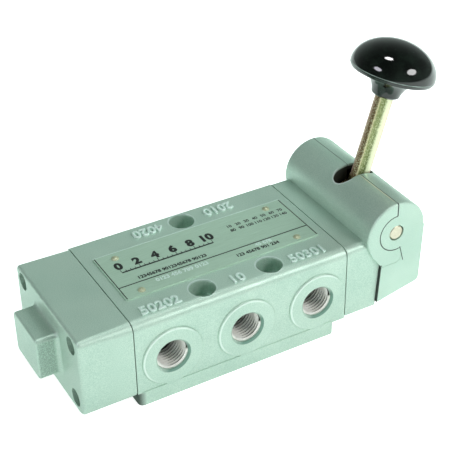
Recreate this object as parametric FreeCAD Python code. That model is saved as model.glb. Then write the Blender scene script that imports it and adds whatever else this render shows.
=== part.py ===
import FreeCAD, Part
import math
import os

V = FreeCAD.Vector

# All sizes in millimetres. X runs along the spool to the lever, Y across to the rear ports, Z up

# Clearances
RUNNING_GAP = 0.05
PRESS_GAP = 0.02
SCREW_GAP = 0.2
POCKET_GAP = 0.32
BALL_GAP = 0.08
PART_GAP = 0.16
BOSS_GAP = 0.15
GROOVE_GAP = 0.1
SPOOL_GAP = 0.4

# Ports, three in front and two behind, half a pitch between them
PORT_PITCH = 33.34
PORT_Z = 19.7
PORT_R = 6.85
PORT_DEPTH = 14.5
PORT_CHAMFER = 0.8
PASSAGE_R = 4.2
PASSAGE_Y = 4.0
PAD_R = 13.3
PAD_PROUD = 0.8
PAD_EDGE_R = 0.7

# Seals and spacers in the spool bore
BORE_R = 9.0
SPOOL_R = 6.0
SEAL_PITCH = PORT_PITCH / 2
SEAL_W = 3.0
SEAL_ROUND = 0.7
SEAL_COUNT = 6
SPACER_WALL = 2.0
SPACER_WAIST = 1.0
SPACER_LIP = 1.8
SPACER_HOLE_R = 2.2
BUSHING_GAP = 0.3
STACK_HALF = SEAL_PITCH * (SEAL_COUNT - 1) / 2 + SEAL_W / 2

# Body
BUSHING_LEFT = 5.9
BUSHING_RIGHT = 4.3
BODY_X0 = -STACK_HALF - BUSHING_LEFT
BODY_X1 = STACK_HALF + BUSHING_RIGHT
HALF_W = 30.8
TOP_Z = 40.0
SPOOL_Z = 23.3
FRONT_EDGE_R = 4.0
BACK_EDGE_R = 2.6
FOOT_H = 6.6
FOOT_STEP_LEFT = 0.4
FOOT_STEP_RIGHT = 5.1
FOOT_PROUD = 0.3
FOOT_CORNER_R = 2.2

# Mounting holes, a pair in front and one behind
MOUNT_X = 15.3
MOUNT_INSET_FRONT = 8.0
MOUNT_INSET_REAR = 7.6
MOUNT_R = 3.4
MOUNT_HEAD_R = 5.45
MOUNT_HEAD_DEPTH = 7.0

# Socket screws
HEAD_R = 3.43
HEAD_H = 4.2
SHANK_R = 2.08
SOCKET_R = 1.85
SOCKET_DEPTH = 2.2
SCREW_GRIP = 6.4
TAP_SPARE = 0.4
GASKET_T = 0.4
GASKET_INSET = 0.7
GASKET_CORNER_R = 3.4

# Lever geometry. The spool is at its left end while the lever leans right
LEVER_TILT = 17.0
BR_X0 = BODY_X1 + GASKET_T
PIN_REACH = 23.33
PIN_X = BR_X0 + PIN_REACH
PIN_Z = 41.2
PIN_R = 3.175
ARM = 2 * (PIN_Z - SPOOL_Z) / (1 + math.cos(math.radians(LEVER_TILT)))
STROKE = 2 * ARM * math.sin(math.radians(LEVER_TILT))
BALL_R = 3.4
BALL_FLAT = 2.9
BALL_X = PIN_X - ARM * math.sin(math.radians(LEVER_TILT))
LEVER_NECK_R = 2.2
LEVER_ROOT_R = 3.3
LEVER_ROOT_S = -6.0
LEVER_HUB_R = 7.2
COLLAR_R = 4.3
COLLAR_S = 10.4
ROD_R = 3.97
ROD_SEAT_S = 5.0
ROD_EDGE = 0.4
STUD_R = 3.6
STUD_LENGTH = 12.0

# Spool turned shape at rest
NECK_R = 4.0
NECK_HALF = 3.2
NECK_SLOPE = 1.2
LAND_SPARE = 0.5
LAND_X0 = -STACK_HALF - STROKE - LAND_SPARE
LAND_X1 = STACK_HALF + LAND_SPARE
SPOOL_EDGE = 0.5
TAIL_R = 4.2
TAIL_END = 3.5
NOSE_R = 5.0
NOSE_FLAT = 3.2
NOSE_END = 4.8
NOSE_FLAT_BACK = 4.2
NOSE_HOLE_DROP = 4.0

# Detent at the spool's left end
SLEEVE_LENGTH = 19.5
SLEEVE_R = 6.5
SLEEVE_EDGE = 0.6
GROOVE_DEPTH = 0.8
GROOVE_HALF = 1.04
DETENT_INSET = 6.0
DETENT_BALL_R = 1.4
COIL_COUNT = 5
COIL_WIRE = 0.5
COIL_R = 1.15
CLIP_T = 1.0
CLIP_BITE = 0.8
CLIP_RADIAL = 1.95
CLIP_OPENING = 1.6

# End cap with its raised block
SLEEVE_SPARE = 3.63
SLEEVE_X1 = LAND_X0 - SLEEVE_SPARE
SLEEVE_X0 = SLEEVE_X1 - SLEEVE_LENGTH
DETENT_X = SLEEVE_X0 + DETENT_INSET
BLOCK_WALL = 4.0
BLOCK_PROUD = 9.5
BLOCK_X = SLEEVE_X0 - BLOCK_WALL
CAP_X0 = BLOCK_X + BLOCK_PROUD
CAP_X1 = BODY_X0 - GASKET_T
CAP_DRAFT = 0.4
CAP_NEAR_Z = 4.1
CAP_FREE_Z = 3.4
CAP_NEAR_TOP_R = 4.0
CAP_NEAR_LOW_R = 4.3
CAP_FREE_TOP_R = 2.4
CAP_FREE_FRONT_R = 4.6
CAP_FREE_REAR_R = 2.6
CAP_RIM_R = 1.4
BLOCK_HALF = 11.7
BLOCK_Z0 = 13.3
BLOCK_Z1 = 32.4
BLOCK_EDGE_R = 2.0
BLOCK_FRONT_R = 1.0
BLOCK_ROOT_R = 1.8
CAP_SCREW_INSET = 7.2
CAP_SCREW_Y = HALF_W - CAP_SCREW_INSET
CAP_SCREW_Z = (9.8, 35.2)
CAP_FLANGE = 8.5

# Lever bracket
LOW_REACH_FOOT = 15.1
LOW_REACH_TOP = 16.4
LOW_X0 = BR_X0 + LOW_REACH_FOOT
LOW_X1 = BR_X0 + LOW_REACH_TOP
HUB_R = 14.2
HUB_PROUD = 1.2
HUB_HALF = HALF_W + HUB_PROUD
HUB_EDGE_R = 0.8
BR_EDGE_R = 3.2
EAR_DROP = 15.0
EAR_Z = PIN_Z - EAR_DROP
EAR_STEP = 1.0
EAR_TURN = 58.4
EAR_BACK = 6.6
EAR_TIP = 4.2
EAR_TIP_R = 3.0
EAR_LEAN = 2.1
BOSS_R = 8.3
BOSS_DEPTH = 3.1
SLOT_HALF = 4.9
SLOT_SPARE = 1.0
SLOT_ROOM = 0.6
WASHER_T = 0.5
WASHER_R = 6.4
LEVER_HUB_HALF = SLOT_HALF - WASHER_T - RUNNING_GAP
INNER_EAR = 12.5
SIDE_WALL = 5.0
OUTER_WALL = HALF_W - SIDE_WALL
HUB_WALL = 3.2
POCKET_FLOOR = 2.6
POCKET_TOP = 34.4
BR_SCREW_INSET = 10.5
BR_SCREW_Y = HALF_W - BR_SCREW_INSET
BR_SCREW_Z = (11.6, 33.0)
BR_SEAT = 6.0
WIPER_X0 = LAND_X1 + STROKE + 1.3
WIPER_LENGTH = 4.2
WIPER_R = 7.6
WIPER_LIP = 0.6
PIN_RECESS = 0.15
PIN_CHAMFER = 0.4
PIN_WINDOW = 0.4

# Lever cover
COVER_X1 = PIN_X + HUB_R
COVER_WALL = 2.6
HEEL_Z = FOOT_H + 1.9
TOE_REACH = 13.3
TOE_Z = 13.0
TOE_R = 2.2
COVER_SCREW_Z = 21.5
COVER_SEAT = 5.6
COVER_GRIP = 7.2
POST_R = 4.2
POST_X = LOW_X0 + PART_GAP

# Knob, heights measured along the lever from the pin
KNOB_NECK_S = 48.0
KNOB_NECK_R = 6.1
KNOB_RIM_S = 59.3
KNOB_RISE = 12.6
KNOB_R = 18.2
KNOB_LIP = 1.2
FLARE_START = (0.0, 0.06)
FLARE_BEND = (0.09, 0.38)
FLARE_SWEEP = (0.36, 0.76)
INSERT_BACK = 3.4
INSERT_R = 5.2
INSERT_WAIST = 0.5
INSERT_LENGTH = 10.0

# Nameplate on the top face and its drive rivets
PLATE_X = (-44.4, 43.9)
PLATE_Y = (-15.3, 16.3)
PLATE_T = 0.5
PLATE_CORNER_R = 0.8
RIVETS = ((-36.2, 12.1), (-36.4, -12.4), (35.0, 12.4), (35.0, -12.4))
RIVET_R = 0.8
RIVET_LENGTH = 3.0
RIVET_HEAD_R = 1.6
RIVET_HEAD_H = 0.9

# How far a cutting tool runs past the faces that it opens
PAST = 1.0
FAR = 40.0


# Plain solids and turned or extruded outlines
def box(x0, x1, y0, y1, z0, z1):
    return Part.makeBox(x1 - x0, y1 - y0, z1 - z0, V(x0, y0, z0))


def cyl_x(x0, x1, r, y=0.0, z=SPOOL_Z):
    return Part.makeCylinder(r, x1 - x0, V(x0, y, z), V(1, 0, 0))


def cyl_y(y0, y1, r, x, z):
    return Part.makeCylinder(r, y1 - y0, V(x, y0, z), V(0, 1, 0))


def cyl_z(z0, z1, r, x, y):
    return Part.makeCylinder(r, z1 - z0, V(x, y, z0), V(0, 0, 1))


def closed_face(points):
    return Part.Face(Part.makePolygon(points + [points[0]]))


def prism_xz(points, half):
    """Extrudes a closed outline in X and Z, the same distance to both sides of the centre plane."""
    return closed_face([V(x, -half, z) for x, z in points]).extrude(V(0, 2 * half, 0))


def lathe_x(points):
    """Turns an outline of (x, radius) pairs about the spool axis."""
    face = closed_face([V(x, 0, SPOOL_Z + r) for x, r in points])
    return face.revolve(V(0, 0, SPOOL_Z), V(1, 0, 0), 360)


def lathe_z(points):
    """Turns an outline of (radius, z) pairs about the Z axis."""
    return closed_face([V(r, 0, z) for r, z in points]).revolve(V(0, 0, 0), V(0, 0, 1), 360)


def near(a, b):
    return abs(a - b) < 1e-4


def edges_where(shape, test):
    """Edges whose two ends both pass the test."""
    return [e for e in shape.Edges if len(e.Vertexes) == 2 and all(test(v.Point) for v in e.Vertexes)]


def edges_long(shape, length):
    return [e for e in shape.Edges if near(e.Length, length)]


def round_edges(shape):
    return [e for e in shape.Edges if len(e.Vertexes) == 1]


def fuse_all(shapes):
    return shapes[0].multiFuse(shapes[1:]) if len(shapes) > 1 else shapes[0]


def cut_all(shape, tools):
    return shape.cut(fuse_all(tools))


def outward(side, inner, outer):
    """The two Y values of a feature on the given side, in rising order."""
    return sorted((side * inner, side * outer))


def both_sides(y, heights):
    return [(side * y, z) for side in (-1, 1) for z in heights]


# Valve body
def port_places():
    front = [(i * PORT_PITCH, -1) for i in (-1, 0, 1)]
    rear = [(i * PORT_PITCH / 2, 1) for i in (-1, 1)]
    return front + rear


def port_pad(x, side):
    """Round land that stands a little proud of the wall, with a rounded rim."""
    y0, y1 = outward(side, HALF_W - PAST, HALF_W + PAD_PROUD)
    pad = cyl_y(y0, y1, PAD_R, x, PORT_Z)
    rim = [e for e in round_edges(pad) if near(abs(e.Vertexes[0].Point.y), HALF_W + PAD_PROUD)]
    return pad.makeFillet(PAD_EDGE_R, rim)


def port_hole(x, side):
    """Bore at the thread's mouth size, chamfered, and the passage from it to the spool bore."""
    face = HALF_W + PAD_PROUD
    y0, y1 = outward(side, face - PORT_DEPTH, face)
    hole = cyl_y(y0, y1, PORT_R, x, PORT_Z)
    wide = PORT_R + PORT_CHAMFER
    mouth = Part.makeCone(wide, PORT_R, PORT_CHAMFER, V(x, side * face, PORT_Z), V(0, -side, 0))
    y0, y1 = outward(side, PASSAGE_Y, face - PORT_DEPTH)
    return [hole, mouth, cyl_y(y0, y1, PASSAGE_R, x, PORT_Z)]


def mount_places():
    front = MOUNT_INSET_FRONT - HALF_W
    return [(-MOUNT_X, front), (MOUNT_X, front), (0.0, HALF_W - MOUNT_INSET_REAR)]


def body_block():
    block = box(BODY_X0, BODY_X1, -HALF_W, HALF_W, FOOT_H - PAST, TOP_Z)
    for side, radius in ((-1, FRONT_EDGE_R), (1, BACK_EDGE_R)):
        rim = edges_where(block, lambda p: near(p.z, TOP_Z) and near(p.y, side * HALF_W))
        block = block.makeFillet(radius, [e for e in rim if near(e.Length, BODY_X1 - BODY_X0)])
    return block


def foot_plate():
    wide = HALF_W + FOOT_PROUD
    foot = box(BODY_X0 + FOOT_STEP_LEFT, BODY_X1 - FOOT_STEP_RIGHT, -wide, wide, 0, FOOT_H)
    return foot.makeFillet(FOOT_CORNER_R, edges_long(foot, FOOT_H))


def valve_body():
    solids = [body_block(), foot_plate()]
    holes = [cyl_x(BODY_X0 - PAST, BODY_X1 + PAST, BORE_R)]
    for x, side in port_places():
        solids.append(port_pad(x, side))
        holes += port_hole(x, side)
    for x, y in mount_places():
        holes.append(cyl_z(-PAST, TOP_Z, MOUNT_R, x, y))
        holes.append(cyl_z(TOP_Z - MOUNT_HEAD_DEPTH, TOP_Z + PAST, MOUNT_HEAD_R, x, y))
    tap = SCREW_GRIP + TAP_SPARE
    for y, z in both_sides(CAP_SCREW_Y, CAP_SCREW_Z):
        holes.append(cyl_x(BODY_X0 - PAST, BODY_X0 + tap, SHANK_R + PRESS_GAP, y, z))
    for y, z in both_sides(BR_SCREW_Y, BR_SCREW_Z):
        holes.append(cyl_x(BODY_X1 - tap, BODY_X1 + PAST, SHANK_R + PRESS_GAP, y, z))
    for x, y in RIVETS:
        holes.append(cyl_z(TOP_Z - RIVET_LENGTH - TAP_SPARE, TOP_Z + PAST, RIVET_R + PRESS_GAP, x, y))
    return cut_all(fuse_all(solids), holes).removeSplitter()


# Seals and spacers packed into the bore
def seal_centres():
    return [SEAL_PITCH * (i - (SEAL_COUNT - 1) / 2) for i in range(SEAL_COUNT)]


def seal_ring(x):
    inner = SPOOL_R + RUNNING_GAP
    half = SEAL_W / 2
    soft = SEAL_ROUND
    return lathe_x([
        (x - half, inner + soft), (x - half + soft, inner), (x + half - soft, inner),
        (x + half, inner + soft), (x + half, BORE_R - soft), (x + half - soft, BORE_R),
        (x - half + soft, BORE_R), (x - half, BORE_R - soft)])


def spool_seals():
    return [seal_ring(x) for x in seal_centres()]


def spacer(x0, x1):
    """A flanged ring with four cross holes that lets air round the spool."""
    inner = BORE_R - SPACER_WALL
    waist = BORE_R - SPACER_WAIST
    ring = lathe_x([
        (x0, inner), (x1, inner), (x1, BORE_R), (x1 - SPACER_LIP, BORE_R),
        (x1 - SPACER_LIP, waist), (x0 + SPACER_LIP, waist), (x0 + SPACER_LIP, BORE_R), (x0, BORE_R)])
    mid = (x0 + x1) / 2
    reach = BORE_R + PAST
    upright = cyl_z(SPOOL_Z - reach, SPOOL_Z + reach, SPACER_HOLE_R, mid, 0)
    across = cyl_y(-reach, reach, SPACER_HOLE_R, mid, SPOOL_Z)
    return cut_all(ring, [upright, across])


def seal_spacers():
    marks = seal_centres()
    return [spacer(a + SEAL_W / 2, b - SEAL_W / 2) for a, b in zip(marks, marks[1:])]


def bushing(x0, x1):
    return cyl_x(x0, x1, BORE_R).cut(cyl_x(x0 - PAST, x1 + PAST, SPOOL_R + BUSHING_GAP))


def end_bushings():
    return [bushing(BODY_X0, -STACK_HALF), bushing(STACK_HALF, BODY_X1)]


# Spool with its lands, necks, detent tail and driving nose
def spool_necks():
    marks = seal_centres()
    return [
        (marks[1] - STROKE - NECK_HALF, marks[1] - STROKE + NECK_HALF),
        (marks[2] - NECK_HALF, marks[3] - STROKE + NECK_HALF),
        (marks[4] - NECK_HALF, marks[4] + NECK_HALF)]


def spool_outline():
    rim = SPOOL_EDGE
    tail = DETENT_X - TAIL_END
    nose = BALL_X + NOSE_END
    outline = [(tail, 0), (tail, TAIL_R - rim), (tail + rim, TAIL_R), (LAND_X0, TAIL_R)]
    outline += [(LAND_X0, SPOOL_R - rim), (LAND_X0 + rim, SPOOL_R)]
    for a, b in spool_necks():
        outline += [(a, SPOOL_R), (a + NECK_SLOPE, NECK_R), (b - NECK_SLOPE, NECK_R), (b, SPOOL_R)]
    outline += [(LAND_X1 - rim, SPOOL_R), (LAND_X1, SPOOL_R - rim), (LAND_X1, NOSE_R)]
    return outline + [(nose - rim, NOSE_R), (nose, NOSE_R - rim), (nose, 0)]


def spool():
    flat = SPOOL_Z + NOSE_FLAT
    reach = TAIL_R + PAST
    end = BALL_X + NOSE_END + PAST
    cuts = [
        box(BALL_X - NOSE_FLAT_BACK, end, -NOSE_R, NOSE_R, flat, SPOOL_Z + NOSE_R + PAST),
        cyl_z(SPOOL_Z - NOSE_HOLE_DROP, flat + PAST, BALL_R + BALL_GAP, BALL_X, 0),
        cyl_z(SPOOL_Z - reach, SPOOL_Z + reach, DETENT_BALL_R + RUNNING_GAP, DETENT_X, 0)]
    return cut_all(lathe_x(spool_outline()), cuts)


# Detent parts in the end cap
def detent_sleeve():
    """Sleeve with two ring grooves inside, one stroke apart."""
    inner = TAIL_R + RUNNING_GAP
    outline = [(SLEEVE_X0, inner + SLEEVE_EDGE), (SLEEVE_X0 + SLEEVE_EDGE, inner)]
    for x in (DETENT_X, DETENT_X + STROKE):
        outline += [(x - GROOVE_HALF, inner), (x, inner + GROOVE_DEPTH), (x + GROOVE_HALF, inner)]
    outline += [(SLEEVE_X1 - SLEEVE_EDGE, inner), (SLEEVE_X1, inner + SLEEVE_EDGE)]
    return lathe_x(outline + [(SLEEVE_X1, SLEEVE_R), (SLEEVE_X0, SLEEVE_R)])


def detent_balls():
    reach = TAIL_R - DETENT_BALL_R
    return [Part.makeSphere(DETENT_BALL_R, V(DETENT_X, 0, SPOOL_Z + s * reach)) for s in (-1, 1)]


def detent_spring():
    """Closed coils of the cross spring, one ring per turn."""
    reach = TAIL_R - 2 * DETENT_BALL_R
    half = COIL_WIRE / 2
    rings = []
    for i in range(COIL_COUNT):
        z = SPOOL_Z - reach + 2 * reach * (i + 0.5) / COIL_COUNT
        ring = cyl_z(z - half, z + half, COIL_R, DETENT_X, 0)
        rings.append(ring.cut(cyl_z(z - COIL_WIRE, z + COIL_WIRE, COIL_R - COIL_WIRE, DETENT_X, 0)))
    return rings


def circlip(x0, bore_r):
    """A sprung ring in its groove, open at the top."""
    outer = bore_r + CLIP_BITE - PRESS_GAP
    low = x0 - PAST
    high = x0 + CLIP_T + PAST
    ring = cyl_x(x0, x0 + CLIP_T, outer).cut(cyl_x(low, high, outer - CLIP_RADIAL))
    return ring.cut(box(low, high, -CLIP_OPENING, CLIP_OPENING, SPOOL_Z, SPOOL_Z + FAR))


def circlip_groove(x0, bore_r):
    return cyl_x(x0, x0 + CLIP_T + GROOVE_GAP, bore_r + CLIP_BITE)


# Socket screws along X
def socket_screw(seat_x, tip_x, y, z):
    """Head on the far side of seat_x from tip_x, with a hexagon socket."""
    out = 1 if seat_x > tip_x else -1
    head_x = seat_x + out * HEAD_H
    shank = cyl_x(min(seat_x, tip_x), max(seat_x, tip_x), SHANK_R, y, z)
    head = cyl_x(min(seat_x, head_x), max(seat_x, head_x), HEAD_R, y, z)
    turns = [math.radians(60 * i) for i in range(6)]
    ring = [V(head_x, y + SOCKET_R * math.cos(a), z + SOCKET_R * math.sin(a)) for a in turns]
    return shank.fuse(head).cut(closed_face(ring).extrude(V(-out * SOCKET_DEPTH, 0, 0)))


def end_cap_screws():
    return [socket_screw(CAP_X1 - CAP_FLANGE, BODY_X0 + SCREW_GRIP, y, z)
            for y, z in both_sides(CAP_SCREW_Y, CAP_SCREW_Z)]


def bracket_screws():
    return [socket_screw(BR_X0 + BR_SEAT, BODY_X1 - SCREW_GRIP, y, z)
            for y, z in both_sides(BR_SCREW_Y, BR_SCREW_Z)]


def cover_screws():
    return [socket_screw(COVER_X1 - COVER_SEAT, POST_X - COVER_GRIP, y, z)
            for y, z in both_sides(BR_SCREW_Y, (COVER_SCREW_Z,))]


# End cap
def cap_section(x, half, low, top_r, front_r, rear_r):
    """Outline of the cap across X, rounded at its corners."""
    high = TOP_Z - top_r
    corners = (
        (half - top_r, high, top_r), (-half + top_r, high, top_r),
        (-half + front_r, low + front_r, front_r), (half - rear_r, low + rear_r, rear_r))
    arcs = []
    for i, (y, z, r) in enumerate(corners):
        turns = [math.radians(90 * i + step) for step in (0, 45, 90)]
        arcs.append([V(x, y + r * math.cos(t), z + r * math.sin(t)) for t in turns])
    edges = []
    for i, arc in enumerate(arcs):
        edges.append(Part.Arc(*arc).toShape())
        edges.append(Part.makeLine(arc[2], arcs[(i + 1) % 4][0]))
    return Part.Wire(edges)


def cap_shell():
    """Cap body, narrower at its free end so that it leaves its mould."""
    near_low = CAP_NEAR_LOW_R
    joint = cap_section(CAP_X1, HALF_W, CAP_NEAR_Z, CAP_NEAR_TOP_R, near_low, near_low)
    half = HALF_W - CAP_DRAFT
    free = cap_section(CAP_X0, half, CAP_FREE_Z, CAP_FREE_TOP_R, CAP_FREE_FRONT_R, CAP_FREE_REAR_R)
    shell = Part.makeLoft([joint, free], True, True)
    return shell.makeFillet(CAP_RIM_R, edges_where(shell, lambda p: near(p.x, CAP_X0)))


def cap_block():
    length = BLOCK_PROUD + PAST
    block = box(BLOCK_X, CAP_X0 + PAST, -BLOCK_HALF, BLOCK_HALF, BLOCK_Z0, BLOCK_Z1)
    block = block.makeFillet(BLOCK_EDGE_R, edges_long(block, length))
    return block.makeFillet(BLOCK_FRONT_R, edges_where(block, lambda p: near(p.x, BLOCK_X)))


def is_block_root(edge):
    """True for the edges where the block meets the cap's end face."""
    b = edge.BoundBox
    flat = near(b.XMin, CAP_X0) and near(b.XMax, CAP_X0)
    narrow = max(-b.YMin, b.YMax) < BLOCK_HALF + PAST
    return flat and narrow and b.ZMin > BLOCK_Z0 - PAST and b.ZMax < BLOCK_Z1 + PAST


def end_cap():
    cap = cap_shell().fuse(cap_block())
    cap = cap.makeFillet(BLOCK_ROOT_R, [e for e in cap.Edges if is_block_root(e)])
    holes = [cyl_x(SLEEVE_X0, CAP_X1 + PAST, SLEEVE_R), circlip_groove(SLEEVE_X1, SLEEVE_R)]
    for y, z in both_sides(CAP_SCREW_Y, CAP_SCREW_Z):
        holes.append(cyl_x(CAP_X0 - PAST, CAP_X1 - CAP_FLANGE, HEAD_R + POCKET_GAP, y, z))
        holes.append(cyl_x(CAP_X0, CAP_X1 + PAST, SHANK_R + SCREW_GAP, y, z))
    return cut_all(cap, holes)


def gasket(x0, screw_y, screw_z, bore):
    wide = HALF_W - GASKET_INSET
    flat = box(x0, x0 + GASKET_T, -wide, wide, FOOT_H + GASKET_INSET, TOP_Z - GASKET_INSET)
    upper = [e for e in edges_long(flat, GASKET_T) if e.Vertexes[0].Point.z > SPOOL_Z]
    flat = flat.makeFillet(GASKET_CORNER_R, upper)
    x1 = x0 + GASKET_T
    holes = [cyl_x(x0 - PAST, x1 + PAST, bore)]
    for y, z in both_sides(screw_y, screw_z):
        holes.append(cyl_x(x0 - PAST, x1 + PAST, SHANK_R + SCREW_GAP, y, z))
    return cut_all(flat, holes)


def end_cap_gasket():
    return gasket(CAP_X1, CAP_SCREW_Y, CAP_SCREW_Z, SLEEVE_R)


def bracket_gasket():
    return gasket(BODY_X1, BR_SCREW_Y, BR_SCREW_Z, SPOOL_R + SPOOL_GAP)


# Lever bracket
def ear_plate(half, grow=0.0):
    """Hanging ear that leaves the hub's round and ends under the pin, grown where it is a cutter."""
    low = EAR_Z - grow
    tip = PIN_X + EAR_TIP + grow
    turn = math.radians(EAR_TURN)
    reach = HUB_R + grow
    ear = prism_xz([
        (PIN_X - reach * math.sin(turn), PIN_Z - reach * math.cos(turn)), (PIN_X - EAR_BACK - grow, low),
        (tip, low), (tip - EAR_LEAN, PIN_Z - EAR_DROP / 2), (PIN_X, PIN_Z)], half)
    toe = edges_where(ear, lambda p: near(p.x, tip) and near(p.z, low))
    return ear.makeFillet(EAR_TIP_R + grow, toe)


def hub_drum():
    drum = cyl_y(-HUB_HALF, HUB_HALF, HUB_R, PIN_X, PIN_Z)
    return drum.makeFillet(HUB_EDGE_R, round_edges(drum))


def bracket_outer():
    step = EAR_Z + EAR_STEP
    block = prism_xz([
        (BR_X0, FOOT_H), (LOW_X0, FOOT_H), (LOW_X1, step), (LOW_X1, TOP_Z), (BR_X0, TOP_Z)], HALF_W)
    tops = edges_where(block, lambda p: near(p.z, TOP_Z) and near(abs(p.y), HALF_W))
    block = block.makeFillet(BR_EDGE_R, [e for e in tops if near(e.Length, LOW_X1 - BR_X0)])
    half_hub = hub_drum().common(box(BR_X0, PIN_X, -FAR, FAR, 0, 2 * PIN_Z))
    return fuse_all([block, half_hub, ear_plate(HUB_HALF)])


def slot_cutter(z0):
    """Upright slot with round ends for the lever's swing, and square room under it for the lever's hub."""
    tilt = math.radians(LEVER_TILT)
    reach = HUB_R * math.sin(tilt) + ROD_R / math.cos(tilt) + SLOT_SPARE
    top = PIN_Z + 2 * HUB_R
    r = SLOT_HALF
    return fuse_all([
        box(PIN_X - reach, PIN_X + reach, -r, r, z0, PIN_Z + LEVER_HUB_R + SLOT_ROOM),
        box(PIN_X - reach + r, PIN_X + reach - r, -r, r, z0, top),
        cyl_z(z0, top, r, PIN_X - reach + r, 0), cyl_z(z0, top, r, PIN_X + reach - r, 0)])


def side_pocket(side):
    """Hollow between the slot's wall and the outer wall."""
    y0, y1 = outward(side, INNER_EAR, OUTER_WALL)
    low = box(BR_X0 + BR_SEAT, PIN_X + FAR, y0, y1, FOOT_H + POCKET_FLOOR, POCKET_TOP)
    return [low, cyl_y(y0, y1, HUB_R - HUB_WALL, PIN_X, PIN_Z)]


def hinge_boss(side, radius, inner):
    """Round boss of the cover, or the seat for it in the bracket's ear."""
    y0, y1 = outward(side, inner, HUB_HALF)
    return cyl_y(y0, y1, radius, PIN_X, PIN_Z)


def bracket_holes():
    clip_x = WIPER_X0 + WIPER_LENGTH
    holes = [
        cyl_x(BR_X0 - PAST, WIPER_X0, SPOOL_R + SPOOL_GAP), cyl_x(WIPER_X0, PIN_X + FAR, WIPER_R),
        circlip_groove(clip_x, WIPER_R), slot_cutter(SPOOL_Z),
        cyl_y(-FAR, FAR, PIN_R + PRESS_GAP, PIN_X, PIN_Z)]
    for side in (-1, 1):
        holes += side_pocket(side)
        holes.append(hinge_boss(side, BOSS_R, HUB_HALF - BOSS_DEPTH - BOSS_GAP))
    for y, z in both_sides(BR_SCREW_Y, BR_SCREW_Z):
        holes.append(cyl_x(BR_X0 - PAST, BR_X0 + BR_SEAT, SHANK_R + SCREW_GAP, y, z))
        holes.append(cyl_x(BR_X0 + BR_SEAT, PIN_X + FAR, HEAD_R + POCKET_GAP, y, z))
    return holes


def lever_bracket():
    shape = cut_all(bracket_outer(), bracket_holes())
    posts = []
    taps = []
    for y, z in both_sides(BR_SCREW_Y, (COVER_SCREW_Z,)):
        posts.append(cyl_x(BR_X0 + PAST, POST_X, POST_R, y, z))
        taps.append(cyl_x(POST_X - COVER_GRIP - TAP_SPARE, POST_X + PAST, SHANK_R + PRESS_GAP, y, z))
    return cut_all(fuse_all([shape] + posts), taps).removeSplitter()


# Lever cover
def cover_outer():
    """Half drum over a sloping apron, cut back to clear the bracket and its ears."""
    toe_x = PIN_X + TOE_REACH
    apron = prism_xz([
        (POST_X, HEEL_Z), (toe_x, TOE_Z), (COVER_X1, PIN_Z), (PIN_X, PIN_Z), (POST_X, EAR_Z)], HUB_HALF)
    toe = edges_where(apron, lambda p: near(p.x, toe_x) and near(p.z, TOE_Z))
    whole = hub_drum().fuse(apron.makeFillet(TOE_R, toe))
    g = PART_GAP
    step = EAR_Z + EAR_STEP
    waist = PIN_Z - EAR_DROP / 2
    high = 2 * PIN_Z
    left = prism_xz([
        (BR_X0, 0), (LOW_X0 + g, 0), (LOW_X0 + g, FOOT_H), (LOW_X1 + g, step), (LOW_X1 + g, waist),
        (PIN_X + g, waist), (PIN_X + g, high), (BR_X0, high)], FAR)
    whole = cut_all(whole, [ear_plate(FAR, g), left])
    bosses = [hinge_boss(side, BOSS_R - g, HUB_HALF - BOSS_DEPTH) for side in (-1, 1)]
    return fuse_all([whole] + bosses)


def cover_hollow():
    """Inside of the cover, one wall in from its outer shape."""
    w = COVER_WALL
    half = HUB_HALF - BOSS_DEPTH - BOSS_GAP
    slope = (TOE_Z - HEEL_Z) / (PIN_X + TOE_REACH - POST_X)
    back = BR_X0
    floor = HEEL_Z + w + slope * (back - POST_X)
    low = prism_xz([
        (back, floor), (PIN_X + TOE_REACH - w, TOE_Z + w), (COVER_X1 - w, PIN_Z), (back, PIN_Z)], half)
    return [low, cyl_y(-half, half, HUB_R - w, PIN_X, PIN_Z)]


def lever_cover():
    holes = cover_hollow() + [slot_cutter(PIN_Z), cyl_y(-FAR, FAR, PIN_R + PIN_WINDOW, PIN_X, PIN_Z)]
    shell = cut_all(cover_outer(), holes)
    posts = []
    drills = []
    for y, z in both_sides(BR_SCREW_Y, (COVER_SCREW_Z,)):
        posts.append(cyl_x(POST_X, COVER_X1 - COVER_WALL, POST_R + POCKET_GAP, y, z))
        drills.append(cyl_x(POST_X - PAST, COVER_X1 + PAST, SHANK_R + SCREW_GAP, y, z))
        drills.append(cyl_x(COVER_X1 - COVER_SEAT, COVER_X1 + PAST, HEAD_R + POCKET_GAP, y, z))
    return cut_all(fuse_all([shell] + posts), drills).removeSplitter()


def pivot_pin():
    end = HUB_HALF - PIN_RECESS
    pin = cyl_y(-end, end, PIN_R, PIN_X, PIN_Z)
    return pin.makeChamfer(PIN_CHAMFER, round_edges(pin))


def hub_washers():
    rings = []
    for side in (-1, 1):
        y0, y1 = outward(side, SLOT_HALF - WASHER_T, SLOT_HALF)
        ring = cyl_y(y0, y1, WASHER_R, PIN_X, PIN_Z)
        rings.append(ring.cut(cyl_y(-SLOT_HALF, SLOT_HALF, PIN_R + PRESS_GAP, PIN_X, PIN_Z)))
    return rings


# Lever parts, modelled upright about the pin and then leant over
def lean(shape):
    shape.rotate(V(0, 0, 0), V(0, 1, 0), LEVER_TILT)
    shape.translate(V(PIN_X, 0, PIN_Z))
    return shape


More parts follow.
